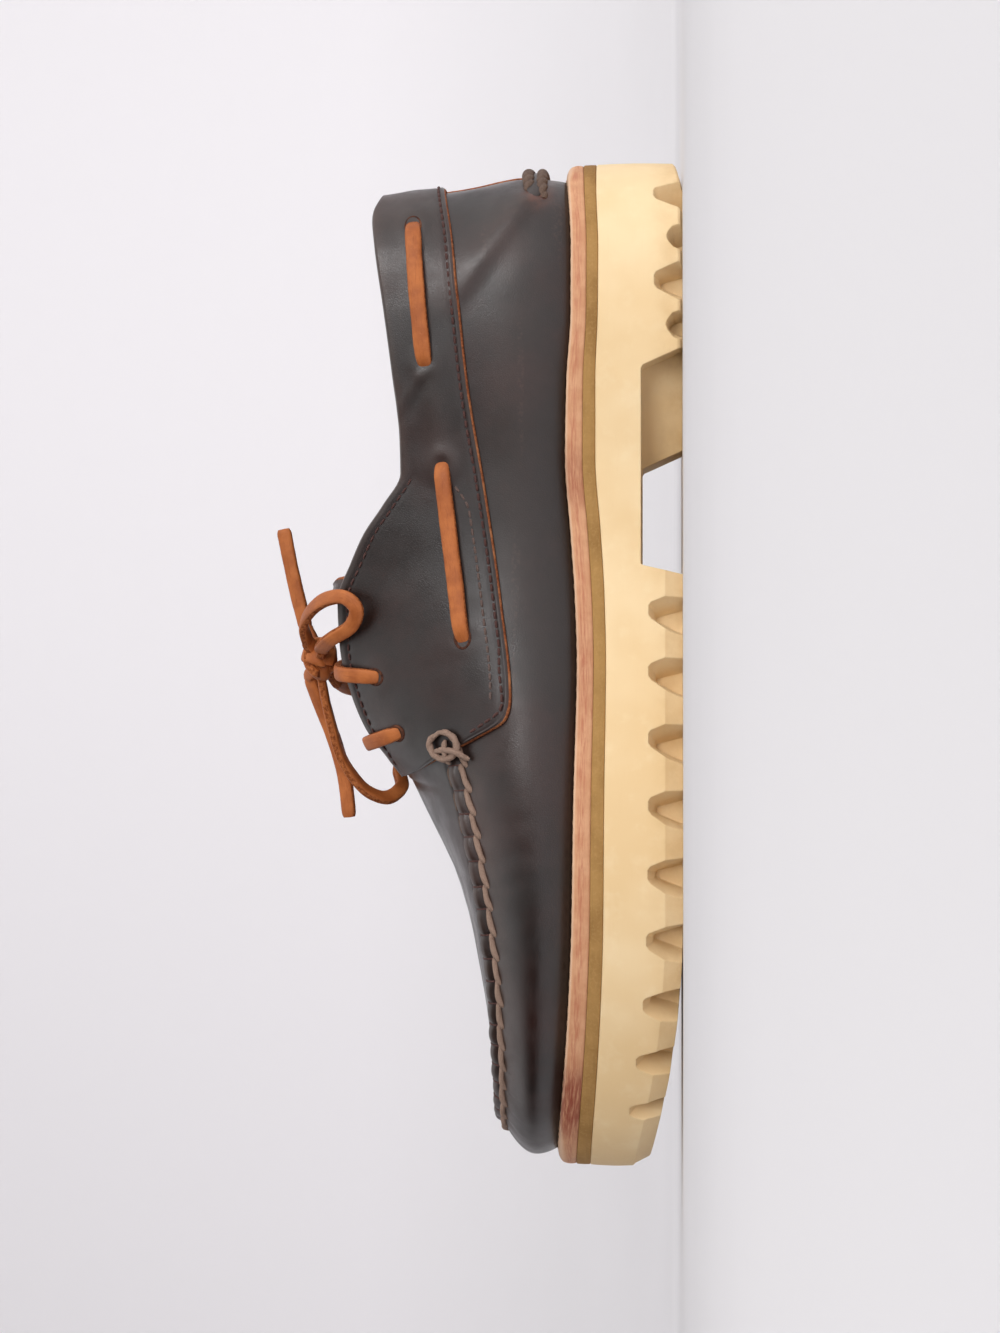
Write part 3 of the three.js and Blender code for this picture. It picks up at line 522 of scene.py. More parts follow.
def strap(shape, path, width, thick, hint=None, hints=None, twist=0.0, sides=20, wobble=0.0, seed=1, round_ends=True, power=3.4, slots=(0, 1), dive=0.0):
    """A flat lace swept along a path: a rounded rectangle, its cut sides in the second slot."""
    t, n, b = frames(path, hint, hints)
    r = np.random.default_rng(seed)
    L = np.concatenate([[0], np.cumsum(np.linalg.norm(np.diff(path, axis=0), axis=1))])
    if twist is not None and np.any(twist):
        a = np.interp(L / L[-1], np.linspace(0, 1, np.size(twist)) if np.size(twist) > 1 else [0, 1], twist if np.size(twist) > 1 else [0, twist])
        n, b = n * np.cos(a)[:, None] + b * np.sin(a)[:, None], b * np.cos(a)[:, None] - n * np.sin(a)[:, None]
    th = np.linspace(0, 2 * np.pi, sides, endpoint=False) + np.pi / sides
    c, s = np.cos(th), np.sin(th)
    x, y = np.sign(c) * np.abs(c) ** (2 / power), np.sign(s) * np.abs(s) ** (2 / power)
    k = np.arange(len(path))
    wave = sum(np.sin(L[:, None] * f + r.uniform(0, 6.3, (1, 2))) * a for f, a in ((0.35, 0.5), (0.9, 0.3), (2.3, 0.2)))
    ww, tt = width * (1 + wobble * wave[:, 0]), thick * (1 + 1.2 * wobble * wave[:, 1])
    if dive:
        end = np.minimum(L, L[-1] - L)
        ww = ww * (0.66 + 0.34 * np.clip(end / dive, 0, 1) ** 0.5)
    if round_ends:
        for i, q in ((0, 0.80), (1, 0.95)):
            ww[i] *= q
            tt[i] *= q
            ww[-1 - i] *= q
            tt[-1 - i] *= q
    P = path[:, None] + b[:, None] * (x[None, :, None] * ww[:, None, None] / 2) + n[:, None] * (y[None, :, None] * tt[:, None, None] / 2)
    cut = (np.abs(x) > 0.93).astype(int)
    cut_face = ((cut + np.roll(cut, -1)) == 2).astype(int)
    slot = np.broadcast_to(np.where(cut_face, slots[1], slots[0]), (len(path) - 1, sides))
    along, across = np.repeat(L, sides), np.tile(x * width / 2, len(path))
    shape.grid(P, close_v=True, slot=slot, along=along, across=across)
    for end, sign in ((0, 1), (len(path) - 1, -1)):
        centre = path[end]
        ring = P[end]
        base = np.concatenate([ring, [centre - t[end] * sign * 0.15]])
        tri = np.array([[i, (i + 1) % sides, sides] for i in range(sides)])
        shape.add(base, [tri if sign < 0 else tri[:, ::-1]], slots[1], along=L[end], across=0.0)
    return L[-1]


def rod(shape, path, radius, sides=8, slot=0, lobes=0, turns=0.0, depth=0.0, phase=0.0, taper=0.35, hint=None):
    """A thread: round, or twisted from `lobes` plies; its ends thin out."""
    t, n, b = frames(path, hint)
    L = np.concatenate([[0], np.cumsum(np.linalg.norm(np.diff(path, axis=0), axis=1))])
    f = L / L[-1]
    thin = np.where(np.minimum(f, 1 - f) < 0.18, mix(taper, 1, np.sin(np.minimum(f, 1 - f) / 0.18 * np.pi / 2)), 1)
    th = np.linspace(0, 2 * np.pi, sides, endpoint=False)
    r = radius * thin[:, None] * np.ones((1, sides))
    if lobes:
        a = th[None, :] * lobes / 2 - (turns * np.pi * f[:, None] * 1.0 + phase)
        r = r * (1 - depth + depth * np.abs(np.sin(a)) ** 0.7)
    P = path[:, None] + (n[:, None] * np.cos(th)[None, :, None] + b[:, None] * np.sin(th)[None, :, None]) * r[..., None]
    shape.grid(P, close_v=True, slot=slot, along=np.repeat(L, sides), across=np.tile(th, len(path)))
    for end, sign in ((0, 1), (len(path) - 1, -1)):
        base = np.concatenate([P[end], [path[end]]])
        tri = np.array([[i, (i + 1) % sides, sides] for i in range(sides)])
        shape.add(base, [tri if sign < 0 else tri[:, ::-1]], slot, along=L[end], across=0.0)


def finish_piece(obj, slot, *nodes):
    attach(obj, "root")
    if nodes:
        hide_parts(*nodes)
    return obj


# ---- material helpers ---------------------------------------------------------------------------------
class Look:
    def __init__(self, name, roughness=0.5, **sockets):
        self.mat = bpy.data.materials.new(name)
        self.mat.use_nodes = True
        self.tree = self.mat.node_tree
        self.tree.nodes.clear()
        self.out = self.tree.nodes.new("ShaderNodeOutputMaterial")
        self.bsdf = self.tree.nodes.new("ShaderNodeBsdfPrincipled")
        self.tree.links.new(self.bsdf.outputs[0], self.out.inputs[0])
        self.bsdf.inputs["Roughness"].default_value = roughness
        for k, v in sockets.items():
            self.bsdf.inputs[k.replace("_", " ")].default_value = v
        self.space = self.node("ShaderNodeTexCoord").outputs["Object"]

    def node(self, kind, ins=None, **props):
        n = self.tree.nodes.new(kind)
        for k, v in props.items():
            setattr(n, k, v)
        for k, v in (ins or {}).items():
            if isinstance(v, bpy.types.NodeSocket):
                self.tree.links.new(v, n.inputs[k])
            else:
                n.inputs[k].default_value = v
        return n

    def attribute(self, name):
        return self.node("ShaderNodeAttribute", attribute_name=name, attribute_type="GEOMETRY").outputs["Fac"]

    def math(self, op, a, b=0.0, c=0.0, clamp=False):
        return self.node("ShaderNodeMath", {0: a, 1: b, 2: c}, operation=op, use_clamp=clamp).outputs[0]

    def noise(self, scale, detail=3.0, rough=0.55, space=None, distortion=0.0):
        return self.node("ShaderNodeTexNoise", {"Vector": space or self.space, "Scale": scale, "Detail": detail, "Roughness": rough, "Distortion": distortion}).outputs["Fac"]

    def voronoi(self, scale, feature="F1", space=None, out="Distance", randomness=1.0):
        return self.node("ShaderNodeTexVoronoi", {"Vector": space or self.space, "Scale": scale, "Randomness": randomness}, feature=feature).outputs[out]

    def ramp(self, fac, a, b, low=0.0, high=1.0):
        return self.node("ShaderNodeMapRange", {"Value": fac, "From Min": a, "From Max": b, "To Min": low, "To Max": high}, interpolation_type="SMOOTHSTEP").outputs[0]

    def mix(self, fac, a, b, blend="MIX"):
        n = self.node("ShaderNodeMix", data_type="RGBA", blend_type=blend, clamp_factor=True)
        for i, v in ((0, fac), (6, a), (7, b)):
            if isinstance(v, bpy.types.NodeSocket):
                self.tree.links.new(v, n.inputs[i])
            else:
                n.inputs[i].default_value = v if i == 0 else srgb(v)
        return n.outputs[2]

    def colour(self, socket):
        self.tree.links.new(socket, self.bsdf.inputs["Base Color"])
        return self

    def rough(self, socket):
        self.tree.links.new(socket, self.bsdf.inputs["Roughness"])
        return self

    def scaled(self, x, y, z, space=None):
        return self.node("ShaderNodeMapping", {"Vector": space or self.space, "Scale": (x, y, z)}).outputs[0]

    def vector(self, x, y, z=0.0):
        return self.node("ShaderNodeCombineXYZ", {0: x, 1: y, 2: z}).outputs[0]

    def bumps(self, *layers, normal=None):
        """Each layer is (height, strength, distance in metres)."""
        for height, strength, distance in layers:
            ins = {"Height": height, "Strength": strength, "Distance": distance}
            if normal is not None:
                ins["Normal"] = normal
            normal = self.node("ShaderNodeBump", ins).outputs[0]
        self.tree.links.new(normal, self.bsdf.inputs["Normal"])
        return self


def srgb(c):
    """(r, g, b) in 0..255 to linear rgba."""
    return tuple(((v / 255) / 12.92 if v / 255 <= 0.04045 else ((v / 255 + 0.055) / 1.055) ** 2.4) for v in c[:3]) + (1.0,)


# ---- finishes -----------------------------------------------------------------------------------------
def leather_look(name, dark=(27, 17, 14), red=(54, 29, 24), pale=(104, 78, 66), roughness=0.33):
    """Waxed dark leather: slow colour drift, redder and paler where it is stretched or rubbed, paler too where a
    painted highlight is laid in (the heel end of the saddle), fine pores.
    """
    k = Look(name, roughness, Specular_IOR_Level=0.95, Coat_Weight=0.08, Coat_Roughness=0.28)
    drift = k.ramp(k.noise(38, 4, 0.6), 0.38, 0.68)
    cloud = k.ramp(k.noise(150, 3, 0.6, distortion=0.6), 0.35, 0.75)
    fine = k.noise(900, 3, 0.6)
    base = k.mix(k.math("MULTIPLY", drift, 0.55), dark, red)
    base = k.mix(k.math("MULTIPLY", cloud, 0.22), base, (25, 16, 14))
    # this attribute holds real rubbing and, on the heel end of the saddle, a painted highlight
    wear = k.attribute("wear")
    rubbed_and_sheen = k.math("MULTIPLY", wear, k.ramp(k.noise(420, 4, 0.65), 0.25, 0.7, 0.55, 1.0), clamp=True)
    base = k.mix(k.math("MULTIPLY", rubbed_and_sheen, 0.55), base, pale)
    rust = k.attribute("rust")
    base = k.mix(k.math("MULTIPLY", rust, k.ramp(k.noise(300, 3, 0.6), 0.3, 0.65, 0.35, 0.95), clamp=True), base, (118, 68, 48))
    # sparse fine scuffs
    scuff = k.ramp(k.noise(60, 2, 0.5, space=k.scaled(1, 0.22, 3.0)), 0.66, 0.74)
    scuff = k.math("MULTIPLY", scuff, k.ramp(fine, 0.45, 0.65))
    base = k.mix(k.math("MULTIPLY", scuff, 0.16), base, pale)
    k.colour(base)
    r = k.ramp(k.noise(120, 4, 0.6), 0.3, 0.7, roughness - 0.05, roughness + 0.09)
    k.rough(k.math("ADD", r, k.math("MULTIPLY", rubbed_and_sheen, 0.1)))
    cells = k.voronoi(1500, "DISTANCE_TO_EDGE")
    pore = k.ramp(cells, 0.0, 0.16)
    creases = k.noise(240, 5, 0.62, space=k.scaled(1, 0.55, 1.3), distortion=0.4)
    k.bumps((pore, 0.16, 0.00012), (fine, 0.12, 0.00012), (creases, 0.08, 0.0005))
    return k.mat


def edge_look(name, colour=(176, 104, 62), dark=(112, 60, 36), pale=(206, 142, 96)):
    """Cut edge of leather: open fibres. A near-black copy of it is the painted shade inside the lace holes, and the
    dark copy is also painted shade under the saddle's lower edge.
    """
    k = Look(name, 0.78, Specular_IOR_Level=0.3)
    a = k.noise(1300, 4, 0.7)
    b = k.noise(260, 3, 0.6)
    c = k.mix(k.ramp(a, 0.35, 0.7), dark, colour)
    c = k.mix(k.math("MULTIPLY", k.ramp(b, 0.45, 0.75), 0.6), c, pale)
    k.colour(c).bumps((a, 0.5, 0.0003))
    return k.mat


def suede_look(name, colour=(150, 112, 78), dark=(112, 78, 52)):
    k = Look(name, 0.88, Specular_IOR_Level=0.2, Sheen_Weight=0.25, Sheen_Roughness=0.5)
    a, b = k.noise(1600, 4, 0.7), k.noise(70, 4, 0.6)
    c = k.mix(k.ramp(b, 0.35, 0.7), dark, colour)
    c = k.mix(k.math("MULTIPLY", k.ramp(a, 0.4, 0.7), 0.35), c, (178, 140, 102))
    k.colour(c).bumps((a, 0.55, 0.00025))
    return k.mat


def rawhide_look(name, face):
    """Oiled lace leather: smooth grain face, open fuzzy cut sides."""
    k = Look(name, 0.5 if face else 0.8, Specular_IOR_Level=0.4 if face else 0.2)
    along, across = k.attribute("along"), k.attribute("across")
    space = k.vector(k.math("MULTIPLY", along, 0.16), k.math("MULTIPLY", across, 1.3), 0.0)
    streak = k.noise(1.0, 4, 0.65, space=space)
    grain = k.noise(1100, 4, 0.65)
    patch = k.noise(150, 3, 0.55)
    if face:
        c = k.mix(k.ramp(patch, 0.32, 0.7), (160, 87, 42), (188, 110, 58))
        c = k.mix(k.math("MULTIPLY", k.ramp(streak, 0.52, 0.74), 0.55), c, (136, 68, 32))
        c = k.mix(k.math("MULTIPLY", k.ramp(grain, 0.55, 0.75), 0.25), c, (206, 134, 82))
        k.colour(c).bumps((grain, 0.22, 0.0002), (streak, 0.3, 0.0004))
        k.rough(k.ramp(patch, 0.3, 0.7, 0.46, 0.6))
    else:
        c = k.mix(k.ramp(grain, 0.35, 0.7), (122, 62, 30), (186, 112, 64))
        k.colour(c).bumps((grain, 0.7, 0.0004))
    return k.mat


def rubber_look(name, bright=(248, 222, 178), deep=(238, 206, 156)):
    """Moulded cream rubber, ground smooth on the side walls."""
    k = Look(name, 0.62, Specular_IOR_Level=0.35)
    slow, mid, fine = k.noise(22, 3, 0.55), k.noise(160, 3, 0.55), k.noise(1500, 3, 0.6)
    c = k.mix(k.ramp(slow, 0.35, 0.68), bright, deep)
    c = k.mix(k.math("MULTIPLY", k.ramp(mid, 0.5, 0.75), 0.25), c, (252, 232, 194))
    # faint grinding lines round the wall, and painted shade: the rubber turns tan towards the ground and in the
    # notches, where shade falls
    grind = k.noise(1.0, 3, 0.6, space=k.scaled(120, 120, 1700))
    c = k.mix(k.math("MULTIPLY", k.ramp(grind, 0.55, 0.8), 0.10), c, (226, 192, 140))
    z = k.node("ShaderNodeSeparateXYZ", {0: k.space}).outputs[2]
    # painted shade: tan from 11.5 mm above the ground downwards, mottled by noise
    low = k.ramp(z, 0.0115, 0.0015)
    c = k.mix(k.math("MULTIPLY", low, k.ramp(k.noise(130, 4, 0.6), 0.3, 0.75, 0.1, 0.5)), c, (206, 166, 108))
    k.colour(c)
    k.rough(k.ramp(mid, 0.3, 0.7, 0.56, 0.7))
    edge = k.node("ShaderNodeBevel", {"Radius": 0.0006}, samples=6).outputs[0]
    k.bumps((fine, 0.10, 0.0001), (grind, 0.05, 0.0001), normal=edge)
    return k.mat


def foam_look(name, colour=(176, 136, 82), dark=(150, 112, 64)):
    k = Look(name, 0.82, Specular_IOR_Level=0.25)
    cells, mid = k.voronoi(1500), k.noise(60, 4, 0.6)
    c = k.mix(k.ramp(mid, 0.35, 0.7), colour, dark)
    c = k.mix(k.math("MULTIPLY", k.ramp(cells, 0.5, 0.9), 0.25), c, (194, 154, 100))
    streak = k.noise(1.0, 3, 0.6, space=k.scaled(60, 60, 1500))
    c = k.mix(k.math("MULTIPLY", k.ramp(streak, 0.5, 0.75), 0.2), c, (142, 106, 60))
    k.colour(c).bumps((cells, 0.25, 0.00015), (streak, 0.15, 0.0001))
    return k.mat


def welt_look(name):
    """Vegetable tanned welt, its edge trimmed: peach, with dark red streaks lengthways and a pale upper line."""
    k = Look(name, 0.62, Specular_IOR_Level=0.35)
    along, level = k.attribute("along"), k.attribute("level")
    space = k.vector(k.math("MULTIPLY", along, 0.045), k.math("MULTIPLY", level, 3.2), 0.0)
    space2 = k.vector(k.math("MULTIPLY", along, 0.16), k.math("MULTIPLY", level, 9.0), 3.0)
    streak, thin, mott, fine = k.noise(1.0, 5, 0.65, space=space), k.noise(1.0, 4, 0.6, space=space2), k.noise(190, 4, 0.6), k.noise(1500, 3, 0.65)
    c = k.mix(k.ramp(mott, 0.3, 0.72), (206, 150, 112), (220, 168, 130))
    c = k.mix(k.math("MULTIPLY", k.ramp(thin, 0.55, 0.72), 0.45), c, (190, 120, 86))
    c = k.mix(k.math("MULTIPLY", k.ramp(streak, 0.64, 0.74), 0.7), c, (164, 80, 56))
    # the core of the edge is redder, its two corners paler
    core = k.ramp(k.math("ABSOLUTE", k.math("SUBTRACT", level, 0.55)), 0.34, 0.1)
    c = k.mix(k.math("MULTIPLY", core, k.ramp(thin, 0.40, 0.62, 0.0, 0.5)), c, (184, 104, 78))
    c = k.mix(k.math("MULTIPLY", k.ramp(level, 0.84, 0.96), 0.7), c, (234, 198, 166))
    stain = k.attribute("stain")
    c = k.mix(k.math("MULTIPLY", stain, k.ramp(thin, 0.25, 0.6, 0.25, 0.9)), c, (132, 52, 38))
    k.colour(c).bumps((fine, 0.3, 0.00018), (thin, 0.35, 0.0003))
    k.rough(k.ramp(mott, 0.3, 0.7, 0.55, 0.72))
    return k.mat


def thread_look(name, light=(196, 170, 150), dark=(128, 104, 88), roughness=0.6):
    k = Look(name, roughness, Specular_IOR_Level=0.4)
    along, across = k.attribute("along"), k.attribute("across")
    ply = k.node("ShaderNodeTexWave", {"Vector": k.vector(k.math("ADD", k.math("MULTIPLY", along, 0.9), k.math("MULTIPLY", across, 0.32)), 0.0, 0.0), "Scale": 1.2, "Distortion": 0.6, "Detail": 2.0}, wave_type="BANDS", bands_direction="X").outputs["Fac"]
    fine = k.noise(1400, 3, 0.6)
    c = k.mix(k.ramp(ply, 0.15, 0.75), dark, light)
    c = k.mix(k.math("MULTIPLY", k.ramp(fine, 0.45, 0.75), 0.35), c, dark)
    k.colour(c).bumps((ply, 0.45, 0.00025), (fine, 0.3, 0.00015))
    return k.mat


def insole_look(name):
    k = Look(name, 0.55, Specular_IOR_Level=0.4)
    slow, fine, cell = k.noise(45, 4, 0.6), k.noise(900, 3, 0.6), k.voronoi(1100, "DISTANCE_TO_EDGE")
    c = k.mix(k.ramp(slow, 0.3, 0.7), (150, 104, 66), (178, 128, 84))
    c = k.mix(k.math("MULTIPLY", k.ramp(fine, 0.5, 0.75), 0.3), c, (120, 78, 46))
    k.colour(c).bumps((k.ramp(cell, 0.0, 0.2), 0.3, 0.00015), (fine, 0.15, 0.0001))
    return k.mat


def floor_look(name):
    k = Look(name, 0.9, Specular_IOR_Level=0.1)
    flat = k.mix(k.ramp(k.noise(3, 3, 0.5), 0.3, 0.7), (231, 229, 231), (228, 226, 228))
    k.colour(k.mix(k.attribute("tone"), flat, (244, 241, 244)))
    k.bumps((k.noise(300, 3, 0.6), 0.03, 0.0003))
    return k.mat


LEATHER = leather_look("waxed_leather")
LINING = suede_look("leather_flesh_side")
EDGE = edge_look("cut_edge")
# the dark cut edge also serves as painted shade along the gap under the saddle's lower edge
DARK_EDGE_AND_SHADE = edge_look("dark_cut_edge", (92, 54, 38), (50, 30, 24), (128, 80, 56))
RUBBER, FOAM, WELT = rubber_look("cream_rubber"), foam_look("khaki_foam"), welt_look("welt_leather")
INSOLE = insole_look("footbed_leather")
LACE_FACE, LACE_CUT = rawhide_look("rawhide_face", True), rawhide_look("rawhide_cut_side", False)
MOC_THREAD = thread_look("waxed_twine", (180, 152, 134), (112, 86, 74))
DARK_THREAD = thread_look("dark_thread", (104, 70, 64), (56, 36, 34), 0.5)
SOFT_THREAD = thread_look("soft_thread", (132, 112, 104), (74, 56, 52), 0.5)
PALE_THREAD = thread_look("pale_thread", (206, 168, 132), (150, 112, 82))
HEEL_THREAD = thread_look("heel_twine", (134, 110, 94), (58, 40, 34), 0.55)
# painted shade: the near-black finish of the discs that stand in for the hollows of the lace holes
HOLE_SHADE = edge_look("hole_wall", (58, 36, 28), (24, 16, 14), (80, 52, 38))


# ---- sole -----------------------------------------------------------------------------------------------
def ring_us(n):
    h = np.arange(n + 1) / n
    return np.concatenate([h, -h[1:-1][::-1]])


US = ring_us(330)
SOLE_ARC = np.concatenate([[0], np.cumsum(np.linalg.norm(np.diff(sole.at(US), axis=0), axis=1))])


def layer(name, rings, materials, attributes=(), levels=None, slots=None, us=US, **extra):
    """Closed solid from stacked rings; each ring is (inset(d), z(d)) as functions of the station."""
    N = len(us)
    half = N // 2
    shape = Shape(attributes)
    P = []
    for inset, z in rings:
        d0 = sole.at(us)[..., 0]
        ins = inset(d0) if callable(inset) else np.full(N, float(inset))
        p = sole.at(us, ins)
        P.append(np.stack([p[:, 1], LENGTH / 2 - p[:, 0], z(d0)], -1))
    P = np.stack(P, 1)
    vals = {"along": np.repeat(SOLE_ARC[:N] if us is US else np.zeros(N), P.shape[1])}
    if levels is not None:
        vals["level"] = np.tile(levels, N)
    for k, f in extra.items():
        vals[k] = np.repeat(f(us), P.shape[1])
    vals = {k: v for k, v in vals.items() if k in attributes}
    shape.grid(P, close_u=True, slot=0 if slots is None else np.broadcast_to(np.asarray(slots), (N, P.shape[1] - 1)), **vals)
    m = P.shape[1]
    for row in (0, m - 1):
        quads = [[(j % N) * m + row, ((j + 1) % N) * m + row, ((N - j - 1) % N) * m + row, ((N - j) % N) * m + row] for j in range(1, half - 1)]
        tips = [[0 * m + row, 1 * m + row, (N - 1) * m + row], [(half - 1) * m + row, half * m + row, (half + 1) * m + row]]
        shape.faces += [np.array(quads, int), np.array(tips, int)]
        shape.slots += [np.zeros(len(quads), int), np.zeros(2, int)]
    return shape.build(name, materials, merge=0.001)


def cutter(loops):
    """Closed lofted solid through polygons with the same number of corners."""
    n = len(loops[0])
    points, faces = np.concatenate(loops).tolist(), []
    for k in range(len(loops) - 1):
        for i in range(n):
            j = (i + 1) % n
            faces.append([k * n + i, k * n + j, (k + 1) * n + j, (k + 1) * n + i])
    faces.append(list(range(n))[::-1])
    faces.append([(len(loops) - 1) * n + i for i in range(n)])
    return points, faces


def solid_object(name, parts):
    import bmesh

    mesh = bpy.data.meshes.new(name)
    pts, fcs, c = [], [], 0
    for p, f in parts:
        pts += p
        fcs += [[i + c for i in g] for g in f]
        c += len(p)
    mesh.from_pydata(metres(np.array(pts)).tolist(), [], fcs)
    bm = bmesh.new()
    bm.from_mesh(mesh)
    bmesh.ops.triangulate(bm, faces=bm.faces)
    bmesh.ops.recalc_face_normals(bm, faces=bm.faces)
    bm.to_mesh(mesh)
    bm.free()
    obj = bpy.data.objects.new(name, mesh)
    bpy.context.scene.collection.objects.link(obj)
    return obj


def apply(obj):
    deps = bpy.context.evaluated_depsgraph_get()
    mesh = bpy.data.meshes.new_from_object(obj.evaluated_get(deps))
    obj.modifiers.clear()
    obj.data = mesh


def boolean(obj, tool, operation):
    m = obj.modifiers.new("b", "BOOLEAN")
    m.operation, m.object, m.solver = operation, tool, "EXACT"
    m.use_self = False
    apply(obj)
    bpy.data.objects.remove(tool)


def chamfer(d):
    return mix(1.4, 5, smooth(50, 125, d))


us_cut = ring_us(210)
d_ring = [
    (3.2, lambda d: under(d)), (3.0, lambda d: under(d) + 0.25), (0.9, lambda d: under(d) + chamfer(d) - 0.7), (0.2, lambda d: under(d) + chamfer(d)),
    (0.05, lambda d: mix(under(d) + chamfer(d), cream(d), 0.25)), (0.0, lambda d: mix(under(d), cream(d), 0.55)), (0.15, lambda d: mix(under(d), cream(d), 0.82)), (0.35, lambda d: cream(d) - 0.25), (0.6, lambda d: cream(d) + 0.1),
]
outsole = layer("sole_rubber", d_ring, [RUBBER], us=us_cut)
tools = []
for station, apex, half in NOTCHES:
    for sign in (1, -1):
        u = float(sole.where(station)) * sign
        front = station > 120
        # where the notch lies, and how its mouth flares: the forefoot ones lean to the heel and open wide towards the toe
        a0, a1 = sole.at(u, 0.0), sole.at(u, 11.0)
        a = (a1 - a0) / np.linalg.norm(a1 - a0)
        side = np.array([-a[1], a[0]])
        if side[0] < 0:
            side = -side
        knee, lean = 5 + float(under(station)), (-1.1 if front else 0.2)
        loops = []
        for inset, size, depth in ((-6.0, 1.28, 1.05), (0.2, 1.1, 1.0), (4.6, 0.74, 0.84), (11.0, 0.5, 0.78)):
            b = 2.1 if half > 4 else 1.2
            rim = [(-half - 1.0 + lean * 0.3, -1), (-half * 0.86 + lean * 0.6, knee * 0.6), (-b - 0.2 + lean, apex * 0.93), (-b + 0.7 + lean, apex), (b - 1.1 + lean, apex), (b + lean, apex * 0.92), (half * 0.92 + lean * 0.4, knee * 0.55), (half + 1.5, -1)]
            c = a0 + a * inset
            top = apex
            loops.append(np.array([[c[1] + side[1] * s * size, LENGTH / 2 - (c[0] + side[0] * s * size), z if z < 0 else z - (1 - depth) * z] for s, z in rim]))
        tools.append(cutter(loops))
waist = lambda s: [[64 - s, 62], [64 - s, 24], [92 - s, 13], [92 - s, -13], [64 - s, -24], [64 - s, -62], [121 + s * 0.5, -62], [121 + s * 0.5, 62]]
as_loop = lambda poly, z: np.array([[x, LENGTH / 2 - d, z] for d, x in poly])
tools.append(cutter([as_loop(waist(6), -1), as_loop(waist(2.4), 7.0), as_loop(waist(0.4), 11.4), as_loop(waist(-0.6), 12.0)]))
boolean(outsole, solid_object("cut", tools), "DIFFERENCE")
slot_at = lambda s: [[96 - s, 15 + s], [96 - s, -15 - s], [117 + s, -13 - s], [117 + s, 13 + s]]


def field(a, b, inset):
    us = np.linspace(float(sole.where(a)), float(sole.where(b)), 15)
    return np.concatenate([sole.at(us, inset), sole.at(-us[::-1], inset)]).tolist()


tools = [
    cutter([as_loop(slot_at(1.5), 10), as_loop(slot_at(0), 14)]),
    cutter([as_loop(field(130, 268, 13.0), -1), as_loop(field(131, 267, 14.5), 5.2), as_loop(field(132, 266, 16), 6)]),
    cutter([as_loop(field(20, 56, 12.5), -1), as_loop(field(20.6, 55.4, 13.3), 4.3), as_loop(field(21, 55, 14), 5)]),
]
boolean(outsole, solid_object("cut", tools), "DIFFERENCE")


def star(d, x, r):
    a = np.arange(16) * math.pi / 8
    q = np.array([1, 0.80, 0.6, 0.80] * 4) * r
    q = np.where(np.arange(16) % 4 == 2, 0.56 * r, np.where(np.arange(16) % 4 == 0, r, 0.74 * r))
    return np.stack([d + q * np.cos(a), x + q * np.sin(a)], -1).tolist()


tools = []
for station, across, radius in STARS:
    foot = float(under(station + 6) * 0.6 + under(station - 6) * 0.4)
    tools.append(cutter([as_loop(star(station, across, radius - 1.9), foot), as_loop(star(station, across, radius - 1.3), foot + 0.5), as_loop(star(station, across, radius), 7.5)]))
boolean(outsole, solid_object("lugs", tools), "UNION")
outsole.data.polygons.foreach_set("use_smooth", np.ones(len(outsole.data.polygons), bool))
outsole.data.set_sharp_from_angle(angle=math.radians(28))
if not outsole.data.materials:
    outsole.data.materials.append(RUBBER)
finish_piece(outsole, "rubber_cream", "outsole")

SEAM_Z = 0.12
midsole = layer("sole_foam", [(0.9, lambda d: cream(d) + SEAM_Z), (0.55, lambda d: cream(d) + SEAM_Z + 0.12), (0.42, lambda d: cream(d) + 0.5), (0.4, lambda d: mix(cream(d), khaki(d), 0.5)), (0.5, lambda d: khaki(d) - 0.35), (0.62, lambda d: khaki(d) + 0.0), (0.95, lambda d: khaki(d) + 0.12)], [FOAM])
finish_piece(midsole, "foam_khaki", "midsole")


def end_round(d):
    return smooth(282, 299.5, d) + smooth(9, 0.5, d)


levels, rings = [], []
for f in np.linspace(0, 1, 7):
    rings.append((lambda d, f=f: 0.72 + 0.12 * (1 - f) ** 4 - 0.14 * np.sin(np.pi * f), lambda d, f=f: mix(khaki(d) + 0.14 + 0.06, welt(d) - 0.75 - 1.9 * end_round(d), f)))
    levels.append(0.86 * f)
for a in np.linspace(0.25, 1, 6) * math.pi / 2:
    rings.append((lambda d, a=a: 0.72 + (0.8 + 3.6 * end_round(d)) * (1 - np.cos(a)), lambda d, a=a: welt(d) - (0.75 + 1.9 * end_round(d)) * (1 - np.sin(a))))
    levels.append(0.86 + 0.14 * math.sin(a))
for ins in (2.4, 3.2, 4.2, 9.5):
    rings.append((lambda d, ins=ins: ins + 3.2 * end_round(d), lambda d, ins=ins: welt(d) + (0.02 if ins != 3.2 else -0.18)))
    levels.append(1.0)
rings.insert(0, (1.2, lambda d: khaki(d) + 0.14))
levels.insert(0, 0.0)


def stain(us):
    """The dark streak low on the outer toe, and a few faint ones."""
    p = sole.at(us)
    d = p[:, 0]
    outer = (us > 0) & (us < 1)
    s = 0.9 * np.exp(-(((d - 277) / 11) ** 2) ** 2) * outer + 0.45 * np.exp(-(((d - 96) / 9) ** 2) ** 2) * outer + 0.25 * np.exp(-(((d - 150) / 16) ** 2)) * outer + 0.4 * np.exp(-(((d - 230) / 9) ** 2)) * ~outer
    return s


welt_obj = layer("welt_strip", rings, [WELT], attributes=("along", "level", "stain"), levels=np.array(levels), stain=stain)
finish_piece(welt_obj, "welt_leather", "welt")

